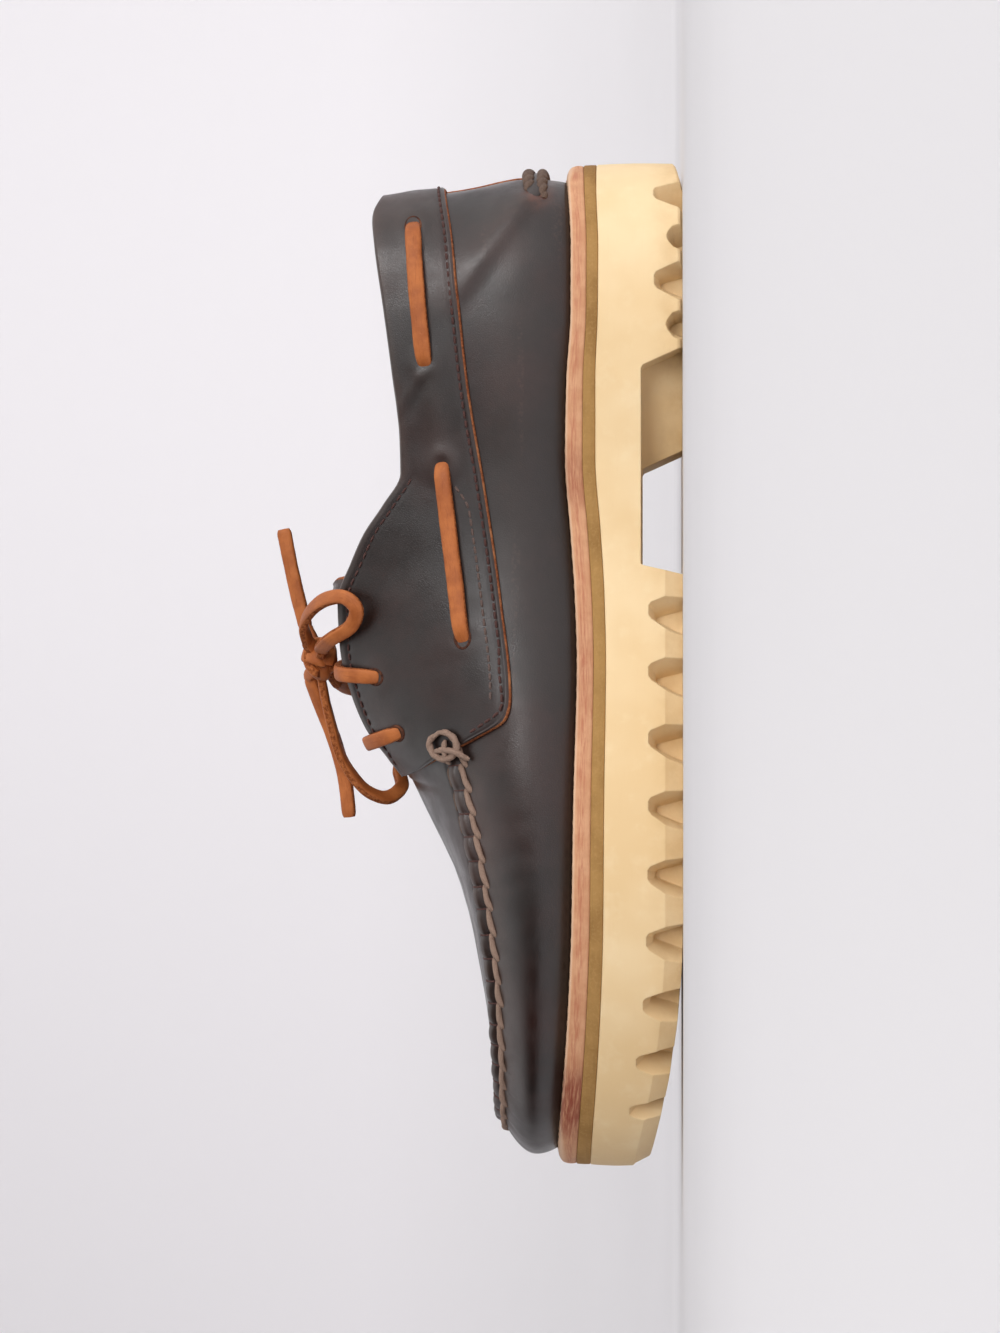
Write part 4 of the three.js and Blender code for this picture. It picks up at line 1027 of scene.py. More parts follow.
# lockstitch round the top of the welt
shape = Shape(("along", "across"))
pitch, long = 4.3, 3.3
total = SOLE_ARC[-1] + np.linalg.norm(sole.at(US[-1]) - sole.at(US[0]))
arc_full, us_full = np.concatenate([SOLE_ARC, [total]]), np.concatenate([np.where(US < 0, US + 2, US), [2.0]])
for k in range(int(total / pitch)):
    s = (k + 0.5) * total / int(total / pitch)
    q = np.linspace(s - long / 2, s + long / 2, 7)
    u = np.interp(q, arc_full, us_full)
    u = np.where(u > 1, u - 2, u)
    d0 = sole.at(u)[:, 0]
    p = sole.at(u, 3.5 + 3.2 * end_round(d0) * 0.5)
    h = welt(d0) + np.array([-0.55, -0.22, -0.15, -0.12, -0.15, -0.22, -0.55])
    rod(shape, np.stack([p[:, 1], LENGTH / 2 - p[:, 0], h], -1), 0.31, sides=7, hint=(0, 0, 1))
welt_thread = shape.build("welt_stitches", [PALE_THREAD])
finish_piece(welt_thread, "welt_leather")

# footbed
INSOLE_IN = FEATHER_IN + WALL + 0.9
rings = [(INSOLE_IN + 0.7, lambda d: welt(d) + GAP), (INSOLE_IN + 0.1, lambda d: welt(d) + 0.9), (INSOLE_IN, lambda d: welt(d) + 2.1), (INSOLE_IN + 0.25, lambda d: welt(d) + 2.75), (INSOLE_IN + 0.9, lambda d: welt(d) + 3.0), (INSOLE_IN + 1.9, lambda d: welt(d) + 3.0), (INSOLE_IN + 2.3, lambda d: welt(d) + 2.8), (INSOLE_IN + 2.8, lambda d: welt(d) + 3.0)]
for ins in (4, 6, 9, 12, 15, 18):
    rings.append((lambda d, ins=ins: INSOLE_IN + ins * np.minimum(1, np.maximum(0.25, np.minimum(d, 300 - d) / 36)), lambda d, ins=ins: welt(d) + 3.0 - 0.9 * smooth(2, 16, ins) * smooth(12, 60, d) * smooth(290, 240, d)))
insole = layer("footbed", rings, [INSOLE])
finish_piece(insole, "insole_leather", "insole")


# ---- upper ----------------------------------------------------------------------------------------------
from mathutils import noise as mnoise


def soft_noise(P, scale, seed=0.0):
    """Smooth noise of the points, about -1..1; scale is in cycles per mm."""
    flat = (np.asarray(P) * scale + seed).reshape(-1, 3)
    return np.array([mnoise.noise(Vector(p)) for p in flat]).reshape(np.asarray(P).shape[:-1])


def relief(u, w, P, d):
    """Soft creases and unevenness of the leather, in mm: no hard lines."""
    st, z = LENGTH / 2 - P[..., 1], P[..., 2]
    out = 0.22 * soft_noise(P, 1 / 34.0, 3.1) + 0.10 * soft_noise(P, 1 / 12.0, 9.7)
    au = np.abs(u)
    # a broad fold rising forward from the heel, either side
    line = 42.5 + (st - 10) * 0.70
    t = z - line
    reach = smooth(6, 15, st) * smooth(54, 30, st)
    out = out + 1.35 * np.where(t > 0, np.exp(-((t / 8.0) ** 2)), np.exp(-((t / 3.6) ** 2))) * reach
    # shallow flex creases across the ball of the foot
    for k, (s0, zc, tilt, deep) in enumerate(((196.0, 52, 0.30, 0.26), (205.5, 50, 0.22, 0.34), (213.0, 49, 0.15, 0.28), (222.0, 47, 0.08, 0.18))):
        run = st - s0 - (z - zc) * tilt - 1.2 * np.sin(z * 0.21 + k)
        side = smooth(38, 46, z)
        deep *= 0.3
        out = out - deep * np.exp(-((run / 2.3) ** 2)) * side * (d < -3) * smooth(0, 6, -d - 3) + 0.5 * deep * np.exp(-(((run - 4.0) / 2.6) ** 2)) * side * smooth(0, 6, -d - 3)
        out = out - 0.6 * deep * np.exp(-((run / 1.9) ** 2)) * smooth(3.5, 8, d)
    return out * smooth(0.0, 0.06, w)


REAR, FRONT = 128, 236
u_half = np.concatenate([np.linspace(0, THROAT, REAR, endpoint=False), np.linspace(THROAT, 1, FRONT + 1)])
UU = np.concatenate([u_half, -u_half[1:-1][::-1]])
NU = len(UU)


def section_rows(us, below=19, across=34, above=22):
    """w of each row for each column: spaced by distance, close together over the seam."""
    W = []
    for u in us:
        D = column(TD, u)
        low, high = D[0], D[-1]
        m = min(5.6, high * 0.6)
        rows = np.concatenate([mix(low, -5.6, np.linspace(0, 1, below, endpoint=False)), np.linspace(-5.6, m, across), mix(m, high, np.linspace(0, 1, above + 1)[1:])])
        w = np.interp(rows, D, TW)
        w[0], w[-1] = 0.0, 1.0
        W.append(w)
    return np.array(W)


WW = section_rows(UU)
Uc = np.broadcast_to(UU[:, None], WW.shape)
P0, N0 = form(Uc, WW)
D0 = seam_distance(Uc, WW)
rid = ridge(Uc, WW, D0)
outer_P = P0 + N0 * (rid + relief(Uc, WW, P0, D0))[..., None]
# the wall's foot turns in under itself on the welt
inner_w = np.linspace(1, 0, 22)
Ui, Wi = np.meshgrid(UU, inner_w, indexing="ij")
Pi, Ni = form(Ui, Wi)
inner_P = Pi - Ni * WALL
# the two sides share the same rows along the instep, so that they close
rim_soft = smooth(THROAT, THROAT - 0.05, np.abs(UU))
tan_w = unit(outer_P[:, -1] - outer_P[:, -3])
top_rim = np.stack([mix(outer_P[:, -1], inner_P[:, 0], q) + tan_w * (0.55 * math.sin(math.pi * q) * rim_soft)[:, None] for q in (0.2, 0.5, 0.8)], 1)
low_rim = np.stack([mix(inner_P[:, -1], outer_P[:, 0], q) for q in (0.33, 0.67)], 1)
ALL = np.concatenate([outer_P, top_rim, inner_P, low_rim], 1)
rows_out, rows_rim, rows_in = outer_P.shape[1], 3, inner_P.shape[1]
total_rows = ALL.shape[1]
row = np.arange(total_rows)
slot = np.where(row < rows_out - 1, 0, np.where(row < rows_out + rows_rim, 2, np.where(row < rows_out + rows_rim + rows_in - 1, 1, 2)))
is_rim = (row >= rows_out - 1) & (row < rows_out + rows_rim)
front = np.abs(UU) >= THROAT - 1e-9
front_face = front & np.roll(front, -1)
keep = ~(front_face[:, None] & is_rim[None, :])
wear = np.zeros((NU, total_rows))
s_here = seam_s(Uc)
p_here = pucker(s_here)[0]
near = smooth(THROAT - 0.036, THROAT - 0.02, np.abs(Uc))
wear[:, :rows_out] = (0.55 * near * p_here * np.exp(-((D0 / 1.7) ** 2)) + 0.30 * near * np.exp(-(((D0 + 6.5) / 3.5) ** 2)) + 0.14 * smooth(0.0, 0.2, WW) * smooth(0.5, 0.25, WW) * smooth(0.75, 0.35, np.abs(Uc)))
wear[:, :rows_out] += np.clip(relief(Uc, WW, P0, D0), 0, 1) * 0.12
rust = np.zeros((NU, total_rows))
st_u, z_u = LENGTH / 2 - P0[..., 1], P0[..., 2]
rust[:, :rows_out] = np.exp(-(((st_u - 11.5) / 4.0) ** 2) - ((z_u - 42.6) / 3.4) ** 2) + 0.5 * np.exp(-(((st_u - 4) / 6.0) ** 2) - ((z_u - 38.6) / 1.6) ** 2)
shape = Shape(("wear", "rust"))
shape.grid(ALL, close_u=True, close_v=True, slot=np.broadcast_to(slot, (NU, total_rows)), keep=keep, wear=np.clip(wear, 0, 1), rust=np.clip(rust, 0, 1))
upper = shape.build("vamp_and_quarters", [LEATHER, LINING, DARK_EDGE_AND_SHADE], merge=0.02)
finish_piece(upper, "upper_leather", "upper")


def on_form(u, w, off=0.0, puckered=False):
    p, n = form(np.asarray(u, float), np.asarray(w, float))
    lift = np.asarray(off, float) + (ridge(u, w) if puckered else 0.0)
    return p + n * lift[..., None], n


# ---- moccasin seam --------------------------------------------------------------------------------------
shape = Shape(("along", "across"))
r2 = np.random.default_rng(11)


def seam_path(s, d, off):
    u = seam_u(s)
    w = w_at(u, d)
    return on_form(u, w, off, True)[0]


for k in range(N_MOC):
    a, b = MOC[k], MOC[k + 1]
    f = np.linspace(0, 1, 13)
    arch = np.sin(math.pi * f)
    jig = r2.uniform(-0.18, 0.18, 4)
    on_inner = seam_u(np.array([(a + b) / 2]))[0] < 0
    # wall side: a fat twisted length lying slantwise in the trough, its toe end lower
    tip, root = (-4.7 + jig[0], -2.2 + jig[1])
    d = mix(root, tip, f) if not on_inner else mix(tip, root, f)
    rod(shape, seam_path(mix(a - 0.75, b + 0.65, f) if not on_inner else mix(a - 0.65, b + 0.75, f), d, -0.95 + 1.65 * arch**0.6), 0.98, sides=12, lobes=2, turns=1.1, depth=0.22, phase=jig[2] * 9, taper=0.42)
    # apron side: shorter and flatter
    d = mix(2.3 + jig[2], 3.7 + jig[3], f)
    rod(shape, seam_path(mix(a + 0.5, b - 0.4, f), d, -0.6 + 0.95 * arch**0.55), 0.66, sides=10, slot=2, lobes=2, turns=1.5, depth=0.22, taper=0.5)
for k in range(N_MOC + 1):
    # the thin cross turns that pinch the ridge at every stitch
    f = np.linspace(0, 1, 11)
    s = MOC[k] + mix(-0.15, 0.25, f)
    rod(shape, seam_path(s, mix(-2.9, 2.7, f), -0.28 + 0.34 * np.sin(math.pi * f) ** 0.4), 0.33, sides=7, taper=0.7, slot=1)
moc_thread = shape.build("moccasin_seam_twine", [MOC_THREAD, DARK_THREAD, HEEL_THREAD])
finish_piece(moc_thread, "upper_leather")

# ---- collar saddle ---------------------------------------------------------------------------------------
low_edge = Curve(SADDLE_LOW[:, 0], SADDLE_LOW[:, 1])
OUT = GAP + SADDLE


def low_w(us, side_lift=0.0):
    """w of the saddle's lower edge for each column."""
    W = TW
    out = np.ones(len(us))
    for j, u in enumerate(us):
        P = column(TP, u)
        g = P[:, 2] - low_edge(LENGTH / 2 - P[:, 1]) - side_lift
        below = np.nonzero(g < 0)[0]
        if len(below) == 0:
            out[j] = 0.0
        elif below[-1] < NW:
            i = below[-1]
            out[j] = W[i] + (W[i + 1] - W[i]) * (-g[i]) / (g[i + 1] - g[i])
    return out


u_pos = np.concatenate([np.linspace(0, 0.535, 170, endpoint=False), np.linspace(0.535, THROAT, 110)])
w_pos, w_neg = low_w(u_pos), low_w(-u_pos)
end_pos, end_neg = np.nonzero(w_pos < 0.992)[0][-1], np.nonzero(w_neg < 0.992)[0][-1]
SU = np.concatenate([-u_pos[1 : end_neg + 1][::-1], u_pos[: end_pos + 1]])
SW = np.concatenate([w_neg[1 : end_neg + 1][::-1], w_pos[: end_pos + 1]])


def section_D(u):
    return column(TD, u)


near_edge = np.array([0, 0.3, 0.65, 1.0, 1.3, 1.75, 2.2, 2.9, 3.8, 5.0])
SWW = []
for u, w in zip(SU, SW):
    D = section_D(u)
    lo, hi = np.interp(w, TW, D), D[-1]
    q = min(1.0, (hi - lo) / 13.0)
    rows = np.concatenate([lo + near_edge * q, np.linspace(lo + 5.0 * q, hi - 5.0 * q, 22)[1:-1], hi - near_edge[::-1] * q])
    ww = np.interp(rows, D, TW)
    ww[-1] = 1.0
    SWW.append(ww)
SWW = np.array(SWW)
SUU = np.broadcast_to(SU[:, None], SWW.shape)
SP, SN = form(SUU, SWW)
SD = seam_distance(SUU, SWW)
lo_D = np.array([np.interp(w, TW, section_D(u)) for u, w in zip(SU, SW)])
hi_D = np.array([section_D(u)[-1] for u in SU])
from_low, from_top = SD - lo_D[:, None], hi_D[:, None] - SD
under_ridge = np.clip(ridge(SUU, SWW, SD), 0, 3) * 0.6
base_relief = relief(SUU, SWW, SP, SD) * 0.8
# sewn lines draw the leather in; between them it swells; the raw edge lifts a little
st_here, z_here = LENGTH / 2 - SP[..., 1], SP[..., 2]
facing = smooth(88, 97, st_here)
sewn = -0.22 * np.exp(-(((from_low - 2.0) / 0.55) ** 2)) - 0.22 * np.exp(-(((from_top - 3.0) / 0.6) ** 2)) * facing
swell = 0.18 * np.sin(np.clip(from_low / 30, 0, 1) * math.pi) + 0.20 * np.exp(-(((from_top - 1.4) / 1.2) ** 2)) * facing + 0.10 * np.exp(-((from_low / 0.8) ** 2))
# the lace runs under the saddle between its windows
lace_z = np.interp(st_here, [12, 22.5, 62.6, 92, 142.2], [79.5, 78.3, 74.2, 69.2, 62.6])
hidden = smooth(60, 65, st_here) * smooth(95, 89, st_here) + smooth(24, 18, st_here)
channel = (0.42 * smooth(60, 65, st_here) * smooth(95, 89, st_here) + 0.22 * smooth(24, 18, st_here)) * np.exp(-np.abs((z_here - lace_z) / 3.4) ** 2)
for d_h, z_h, big in ((22.5, 78.3, 0.22), (62.6, 74.2, 0.22), (92, 69.2, 0.42), (142.2, 62.6, 0.2), (153, 88.4, 0.18), (169, 81.8, 0.18)):
    far = np.hypot(st_here - d_h, (z_here - z_h) * 1.15)
    channel = channel + big * np.exp(-(((far - 3.6) / 2.2) ** 2)) * smooth(0.5, 2.5, far)
# a fold pulled from the rear window up to the top edge, and one ahead of the front window
pull = (z_here - 74.2) - (st_here - 62.6) * 0.55
channel = channel + 0.28 * np.exp(-((pull / 1.8) ** 2)) * smooth(64, 67, st_here) * smooth(82, 72, st_here) - 0.22 * np.exp(-(((pull + 3.2) / 1.8) ** 2)) * smooth(64, 67, st_here) * smooth(84, 72, st_here)
skive = -0.8 * np.clip(1 - from_low / 0.8, 0, 1) ** 0.9
outer_S = SP + SN * (OUT + under_ridge + base_relief + sewn + swell + channel + skive)[..., None]
inner_S = (SP + SN * (GAP * 0.2 + under_ridge * 0.9 + np.minimum(base_relief, 0))[..., None])[:, ::-1][:, ::3]
rise = unit(outer_S[:, -1] - outer_S[:, -4])
drop = unit(outer_S[:, 0] - outer_S[:, 3])
lip_top = np.stack([mix(outer_S[:, -1], inner_S[:, 0], q) + rise * 0.75 * math.sin(math.pi * q) for q in (0.12, 0.3, 0.5, 0.7, 0.88)], 1)
lip_low = np.stack([mix(inner_S[:, -1], outer_S[:, 0], q) + drop * 0.22 * math.sin(math.pi * q) for q in (0.1, 0.35, 0.65, 0.9)], 1)
ALL = np.concatenate([outer_S, lip_top, inner_S, lip_low], 1)
no, nt, ni, nl = outer_S.shape[1], 5, inner_S.shape[1], 4
row = np.arange(ALL.shape[1])
# the half of the lower cut face next to the vamp takes the dark edge finish: painted shade of the gap under the
# saddle's edge
slot = np.where(row < 1, 2, np.where(row < no + nt, 0, np.where(row < no + nt + ni - 1, 1, np.where(row < no + nt + ni + 1, 3, 2))))
wear = np.zeros(ALL.shape[:2])
wear[:, :no] = 0.3 * np.exp(-((from_low / 0.9) ** 2)) + 0.3 * np.exp(-((from_top / 1.5) ** 2)) + 0.25 * np.clip(channel, 0, 1) + 0.3 * np.clip(base_relief, 0, 1)
# painted highlight: the saddle grows paler towards the heel, where the light catches it
wear[:, :no] += 0.12 * smooth(60, 10, st_here)
wear[:, no : no + nt] = 0.5
shape = Shape(("wear",))
shape.grid(ALL, close_v=True, slot=np.broadcast_to(slot, (len(SU) - 1, len(row))), wear=np.clip(wear, 0, 1))
for end, flip in ((0, False), (len(SU) - 1, True)):
    ring = ALL[end]
    m = len(ring)
    shape.add(np.concatenate([ring, ring.mean(0, keepdims=True)]), [np.array([[i, (i + 1) % m, m] if flip else [(i + 1) % m, i, m] for i in range(m)])], 2)
saddle = shape.build("saddle_leather", [LEATHER, LINING, EDGE, DARK_EDGE_AND_SHADE], merge=0.001)
finish_piece(saddle, "upper_leather", "collar_saddle")


# ---- stitches -------------------------------------------------------------------------------------------
def stitch_line(shape, us, ws, off, pitch, long, radius, lift=0.22, dip=0.3, ease=0.0, puckered=False):
    """Sewn stitches along a line of (u, w) points; both may be any smooth list."""
    us, ws = np.asarray(us, float), np.asarray(ws, float)
    p = sample(TP, us, ws)
    arc = np.concatenate([[0], np.cumsum(np.linalg.norm(np.diff(p, axis=0), axis=1))])
    n = max(1, int(round(arc[-1] / pitch)))
    step = arc[-1] / n
    f = np.array([-0.5, -0.36, -0.15, 0.15, 0.36, 0.5])
    h = np.array([-dip, lift * 0.35, lift, lift, lift * 0.35, -dip])
    for k in range(n):
        s = (k + 0.5 + rng.uniform(-0.05, 0.05)) * step + f * long
        if s[0] < 0 or s[-1] > arc[-1]:
            continue
        u, w = np.interp(s, arc, us), np.interp(s, arc, ws)
        P, nn = form(u, w)
        o = off + h + (np.clip(ridge(u, w), 0, 3) * 0.6 if puckered else 0)
        rod(shape, P + nn * o[:, None], radius, sides=7, hint=nn[0], taper=0.7)


def side_line(points, side, offset):
    """(u, w) of a side-view polyline moved up and back by `offset` mm across its own direction."""
    p = np.asarray(points, float)
    t = unit(np.gradient(p, axis=0))
    q = p + np.stack([-t[:, 1], t[:, 0]], -1) * offset
    found = np.array([locate(a, b, side) for a, b in q])
    return found[:, 0], found[:, 1]


shape, second_row = Shape(("along", "across")), Shape(("along", "across"))
for side in (1, -1):
    # along the raw lower edge, then up the front edge
    ua = np.linspace(0.0, float(sole.where(146)), 60)
    wl = np.interp(ua, u_pos, w_pos if side > 0 else w_neg)
    D = np.array([np.interp(w, TW, section_D(u * side)) for u, w in zip(ua, wl)])
    wa = w_at(ua * side, D + 2.0)
    front_line = np.array([[146, 50.7], [152, 50.0], [158, 49.2], [161.5, 49.0], [164.2, 49.8], [166.4, 52.0], [168.6, 55.2], [171.0, 58.9]])
    uf, wf = side_line(front_line, side, 2.0)
    pa = sample(TP, ua * side, wa)
    cut = LENGTH / 2 - pa[:, 1] < 144.5
    us, ws = np.concatenate([(ua * side)[cut], uf[1:]]), np.concatenate([wa[cut], wf[1:]])
    stitch_line(shape, us, ws, OUT - 0.10, 2.7, 2.0, 0.40)
    # second row in the front half
    st2 = np.linspace(95, 160, 22)
    second = np.stack([st2, low_edge(st2) + 3.6 * np.clip((104 - st2) / 9, 0, 1) ** 1.6], -1)
    u2, w2 = side_line(second, side, 5.2)
    stitch_line(second_row, u2, w2, OUT + 0.0, 2.7, 2.0, 0.38)
    # along the top edge down to the front tip
    ut = np.linspace(float(collar_base[7]) + 0.004, u_pos[end_pos if side > 0 else end_neg] - 0.012, 120) * side
    wt = w_at(ut, np.array([section_D(u)[-1] for u in ut]) - 3.0)
    stitch_line(shape, ut, wt, OUT - 0.10, 2.8, 2.0, 0.30, puckered=True)
dark_thread = shape.build("saddle_stitches", [DARK_THREAD])
finish_piece(dark_thread, "upper_leather")
finish_piece(second_row.build("saddle_second_row", [SOFT_THREAD]), "upper_leather")

# start of the moccasin seam: a loop of twine knotted at each corner of the saddle
shape = Shape(("along", "across"))
for side in (1, -1):
    c = np.array([locate(s, z, side) for s, z in ((169.2, 68.6), (171.4, 70.9), (174.4, 70.0), (176.4, 67.6), (176.2, 64.8), (173.4, 63.2), (170.6, 64.2), (169.0, 66.6), (169.2, 68.6))])
    P, n = form(c[:, 0], c[:, 1])
    lift = np.array([3.3, 3.6, 3.6, 3.3, 2.9, 2.8, 3.2, 3.6, 3.9])
    path = spline(P + n * lift[:, None], 0.5)
    rod(shape, path, 1.1, sides=12, lobes=2, turns=9, depth=0.26, taper=0.6, hint=n[0])
    c = np.array([locate(s, z, side) for s, z in ((175.6, 70.6), (174.2, 67.4), (174.8, 63.6), (177.0, 60.6))])
    P, n = form(c[:, 0], c[:, 1])
    rod(shape, spline(P + n * np.array([2.4, 4.0, 3.6, 0.9])[:, None], 0.5), 0.95, sides=12, lobes=2, turns=5, depth=0.22, taper=0.6, hint=n[0])
    c = np.array([locate(s, z, side) for s, z in ((171.4, 66.9), (173.2, 66.6), (175.4, 66.2), (178.2, 66.0))])
    P, n = form(c[:, 0], c[:, 1])
    rod(shape, spline(P + n * np.array([2.6, 3.5, 3.7, 1.8])[:, None], 0.5), 0.85, sides=12, lobes=2, turns=4, depth=0.22, taper=0.6, hint=n[0])
knots = shape.build("seam_start_loops", [MOC_THREAD])
finish_piece(knots, "upper_leather")

# ---- heel: a rolled, twine-bound tab low on the back, and the back seam --------------------------------------
shape = Shape(("along", "across", "wear"))
uk = np.linspace(-float(sole.where(10.5)), float(sole.where(10.5)), 75)


def height_w(u, z):
    """w of a height, low on the wall."""
    out = []
    for a, b in zip(np.ravel(u), np.ravel(np.broadcast_to(z, np.shape(u)))):
        h = column(TP, a)[:, 2]
        out.append(np.interp(b, h, TW))
    return np.array(out)


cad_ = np.abs(uk) / np.abs(uk).max()
girth = np.clip(1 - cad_**6, 0.0, 1) ** 0.5
rows = []
for a in np.linspace(0, 2 * np.pi, 16, endpoint=False):
    z = 43.2 + 3.0 * np.sin(a) * girth
    w = height_w(uk, z)
    P, n = form(uk, w)
    rows.append(P + n * (0.5 + (1.3 * np.cos(a)) * girth)[:, None])
tab = np.stack(rows, 1)
shape.grid(tab, close_v=True, slot=0, along=np.repeat(np.arange(75.0), 16), wear=0.2)
for end, flip in ((0, True), (74, False)):
    ring = tab[end]
    shape.add(np.concatenate([ring, ring.mean(0, keepdims=True)]), [np.array([[i, (i + 1) % 16, 16] if flip else [(i + 1) % 16, i, 16] for i in range(16)])], 0)
# two twisted strands of heavy twine laid side by side over the roll
for row, (lift, rad, z_row, phase) in enumerate(((1.2, 1.9, 45.5, 0.4), (1.45, 1.75, 41.5, 2.1))):
    span = uk[2:-2] if row else uk[5:-5]
    f = np.linspace(-1, 1, len(span))
    z = z_row + 0.12 * np.sin(np.arange(len(span)) * 0.3 + phase) - 0.8 * np.abs(f) ** 3
    P, n = form(span, height_w(span, z))
    line = spline(P + n * (lift - 2.1 * np.abs(f) ** 8)[:, None], 0.35)
    run = float(np.linalg.norm(np.diff(line, axis=0), axis=1).sum())
    rod(shape, line, rad, sides=18, slot=1, lobes=2, turns=run / 3.3, depth=0.42, phase=phase, taper=0.8, hint=n[len(n) // 2])
tab_obj = shape.build("heel_tab", [LEATHER, HEEL_THREAD], merge=0.0)
finish_piece(tab_obj, "upper_leather")
# the back seam above the tab
shape = Shape(("along", "across"))
zz = np.linspace(47.5, 71.5, 30)
w = height_w(np.full(30, 0.0), zz)
P, n = form(np.full(30, 0.0), w)
strap(shape, P + n * 0.35, 1.7, 1.1, hints=n, sides=12, wobble=0.05, seed=4, slots=(0, 0))
edges = shape.build("heel_seam_edge", [EDGE])
finish_piece(edges, "upper_leather")

# ---- tongue ----------------------------------------------------------------------------------------------
tk = np.arange(len(TONGUE), dtype=float)
t_curve = [Curve(tk, TONGUE[:, k]) for k in range(5)]
T = np.concatenate([np.linspace(0, 6.6, 56), np.linspace(6.6, 8, 30)[1:]])
S = np.concatenate([np.linspace(-1, -0.9, 7), np.linspace(-0.9, 0.9, 46)[1:-1], np.linspace(0.9, 1, 7)])
Sg, Tg = np.meshgrid(S, T)
st, hh, ha, dr, bk = (c(Tg) for c in t_curve)
ds, dz = t_curve[0](Tg + 0.05) - t_curve[0](Tg - 0.05), t_curve[1](Tg + 0.05) - t_curve[1](Tg - 0.05)
ll = np.hypot(ds, dz)
nd, nz = dz / ll, -ds / ll
corner = 6.5 * np.clip((np.abs(Sg) - 0.35) / 0.65, 0, 1) ** 2.2 * smooth(6.0, 8, Tg)
curl = 2.2 * smooth(6.9, 8, Tg) ** 1.6
tongue_at = lambda off: np.stack([Sg * ha - 0.5, LENGTH / 2 - (st - -(corner) - bk * Sg**2 + nd * off), hh - dr * Sg**2 - corner * 0.8 - curl + nz * off], -1)
base_t = tongue_at(0.0)
bump_t = 0.5 * soft_noise(base_t, 1 / 22.0, 5.5) + 0.16 * soft_noise(base_t, 1 / 6.0, 1.5)
top_t = tongue_at(bump_t - 0.05)
low_t = tongue_at(bump_t - 1.95)
n_t, m_t = Sg.shape
lip = lambda a, b, out: np.stack([mix(a, b, q) + out * 0.35 * math.sin(math.pi * q) for q in (0.15, 0.5, 0.85)], 1)
right_lip = lip(top_t[:, -1], low_t[:, -1], unit(top_t[:, -1] - top_t[:, -3]))
left_lip = lip(low_t[:, 0], top_t[:, 0], unit(top_t[:, 0] - top_t[:, 2]))
ALL = np.concatenate([top_t, right_lip, low_t[:, ::-1], left_lip], 1)
row = np.arange(ALL.shape[1])
slot = np.where(row < m_t - 1, 0, np.where(row < m_t + 3, 2, np.where(row < 2 * m_t + 2, 1, 2)))
wear = np.zeros(ALL.shape[:2])
wear[:, :m_t] = 0.6 * np.exp(-((1 - np.abs(Sg)) * 20 / 1.2)) + 0.6 * smooth(7.6, 8, Tg) + 0.2 * np.clip(bump_t, 0, 1)
shape = Shape(("wear",))
shape.grid(ALL, close_v=True, slot=np.broadcast_to(slot, (n_t - 1, len(row))), wear=np.clip(wear, 0, 1))
for e, sign in ((0, 1), (n_t - 1, -1)):
    a, b = top_t[e], low_t[e]
    out = unit(top_t[e] - top_t[e + 2 * sign])
    g = np.stack([a] + [mix(a, b, q) + out * 0.35 * math.sin(math.pi * q) for q in (0.15, 0.5, 0.85)] + [b], 1)
    shape.grid(g, slot=2, flip=sign < 0)
tongue = shape.build("tongue_leather", [LEATHER, LINING, EDGE], merge=0.001)
finish_piece(tongue, "upper_leather", "tongue")


# ---- laces -----------------------------------------------------------------------------------------------
LIE = OUT + LACE_THICK / 2 + 0.12
as_point = lambda d, x, z: np.array([x, LENGTH / 2 - d, z], float)


def hole(shape, u, w, along, a=3.15, b=2.3, off=OUT + 0.12, rim=2):
    """A slit worn open in the saddle: a raised rim of cut leather round a flat dark disc, painted shade where the
    hollow of the hole would lie in shadow. `along` is the slit's direction.
    """
    P, n = form(np.array([u]), np.array([w]))
    P, n = P[0] + n[0] * off, n[0]
    t = unit(along - along.dot(n) * n)
    s = np.cross(n, t)
    th = np.linspace(0, 2 * np.pi, 28, endpoint=False)
    ring = P + t * (np.cos(th) * a)[:, None] + s * (np.sin(th) * b)[:, None]
    outward = unit(t * (np.cos(th) / a)[:, None] + s * (np.sin(th) / b)[:, None])
    ph = np.linspace(0, 2 * np.pi, 8, endpoint=False)
    tube = ring[:, None] + (outward[:, None] * np.cos(ph)[None, :, None] * 0.5 + n * np.sin(ph)[None, :, None] * 0.38)
    shape.grid(tube, close_u=True, close_v=True, slot=rim, along=np.repeat(th * 3, 8), across=np.tile(ph, 28))
    # painted shade: a dark disc laid on the surface stands in for the shadowed hollow of the hole
    disc = np.stack([P + n * h + t * (np.cos(th) * a * q)[:, None] + s * (np.sin(th) * b * q)[:, None] for q, h in ((1.0, 0.06), (0.8, 0.02), (0.02, 0.0))], 1)
    shape.grid(disc, close_u=True, slot=1, along=0.0, across=0.0)


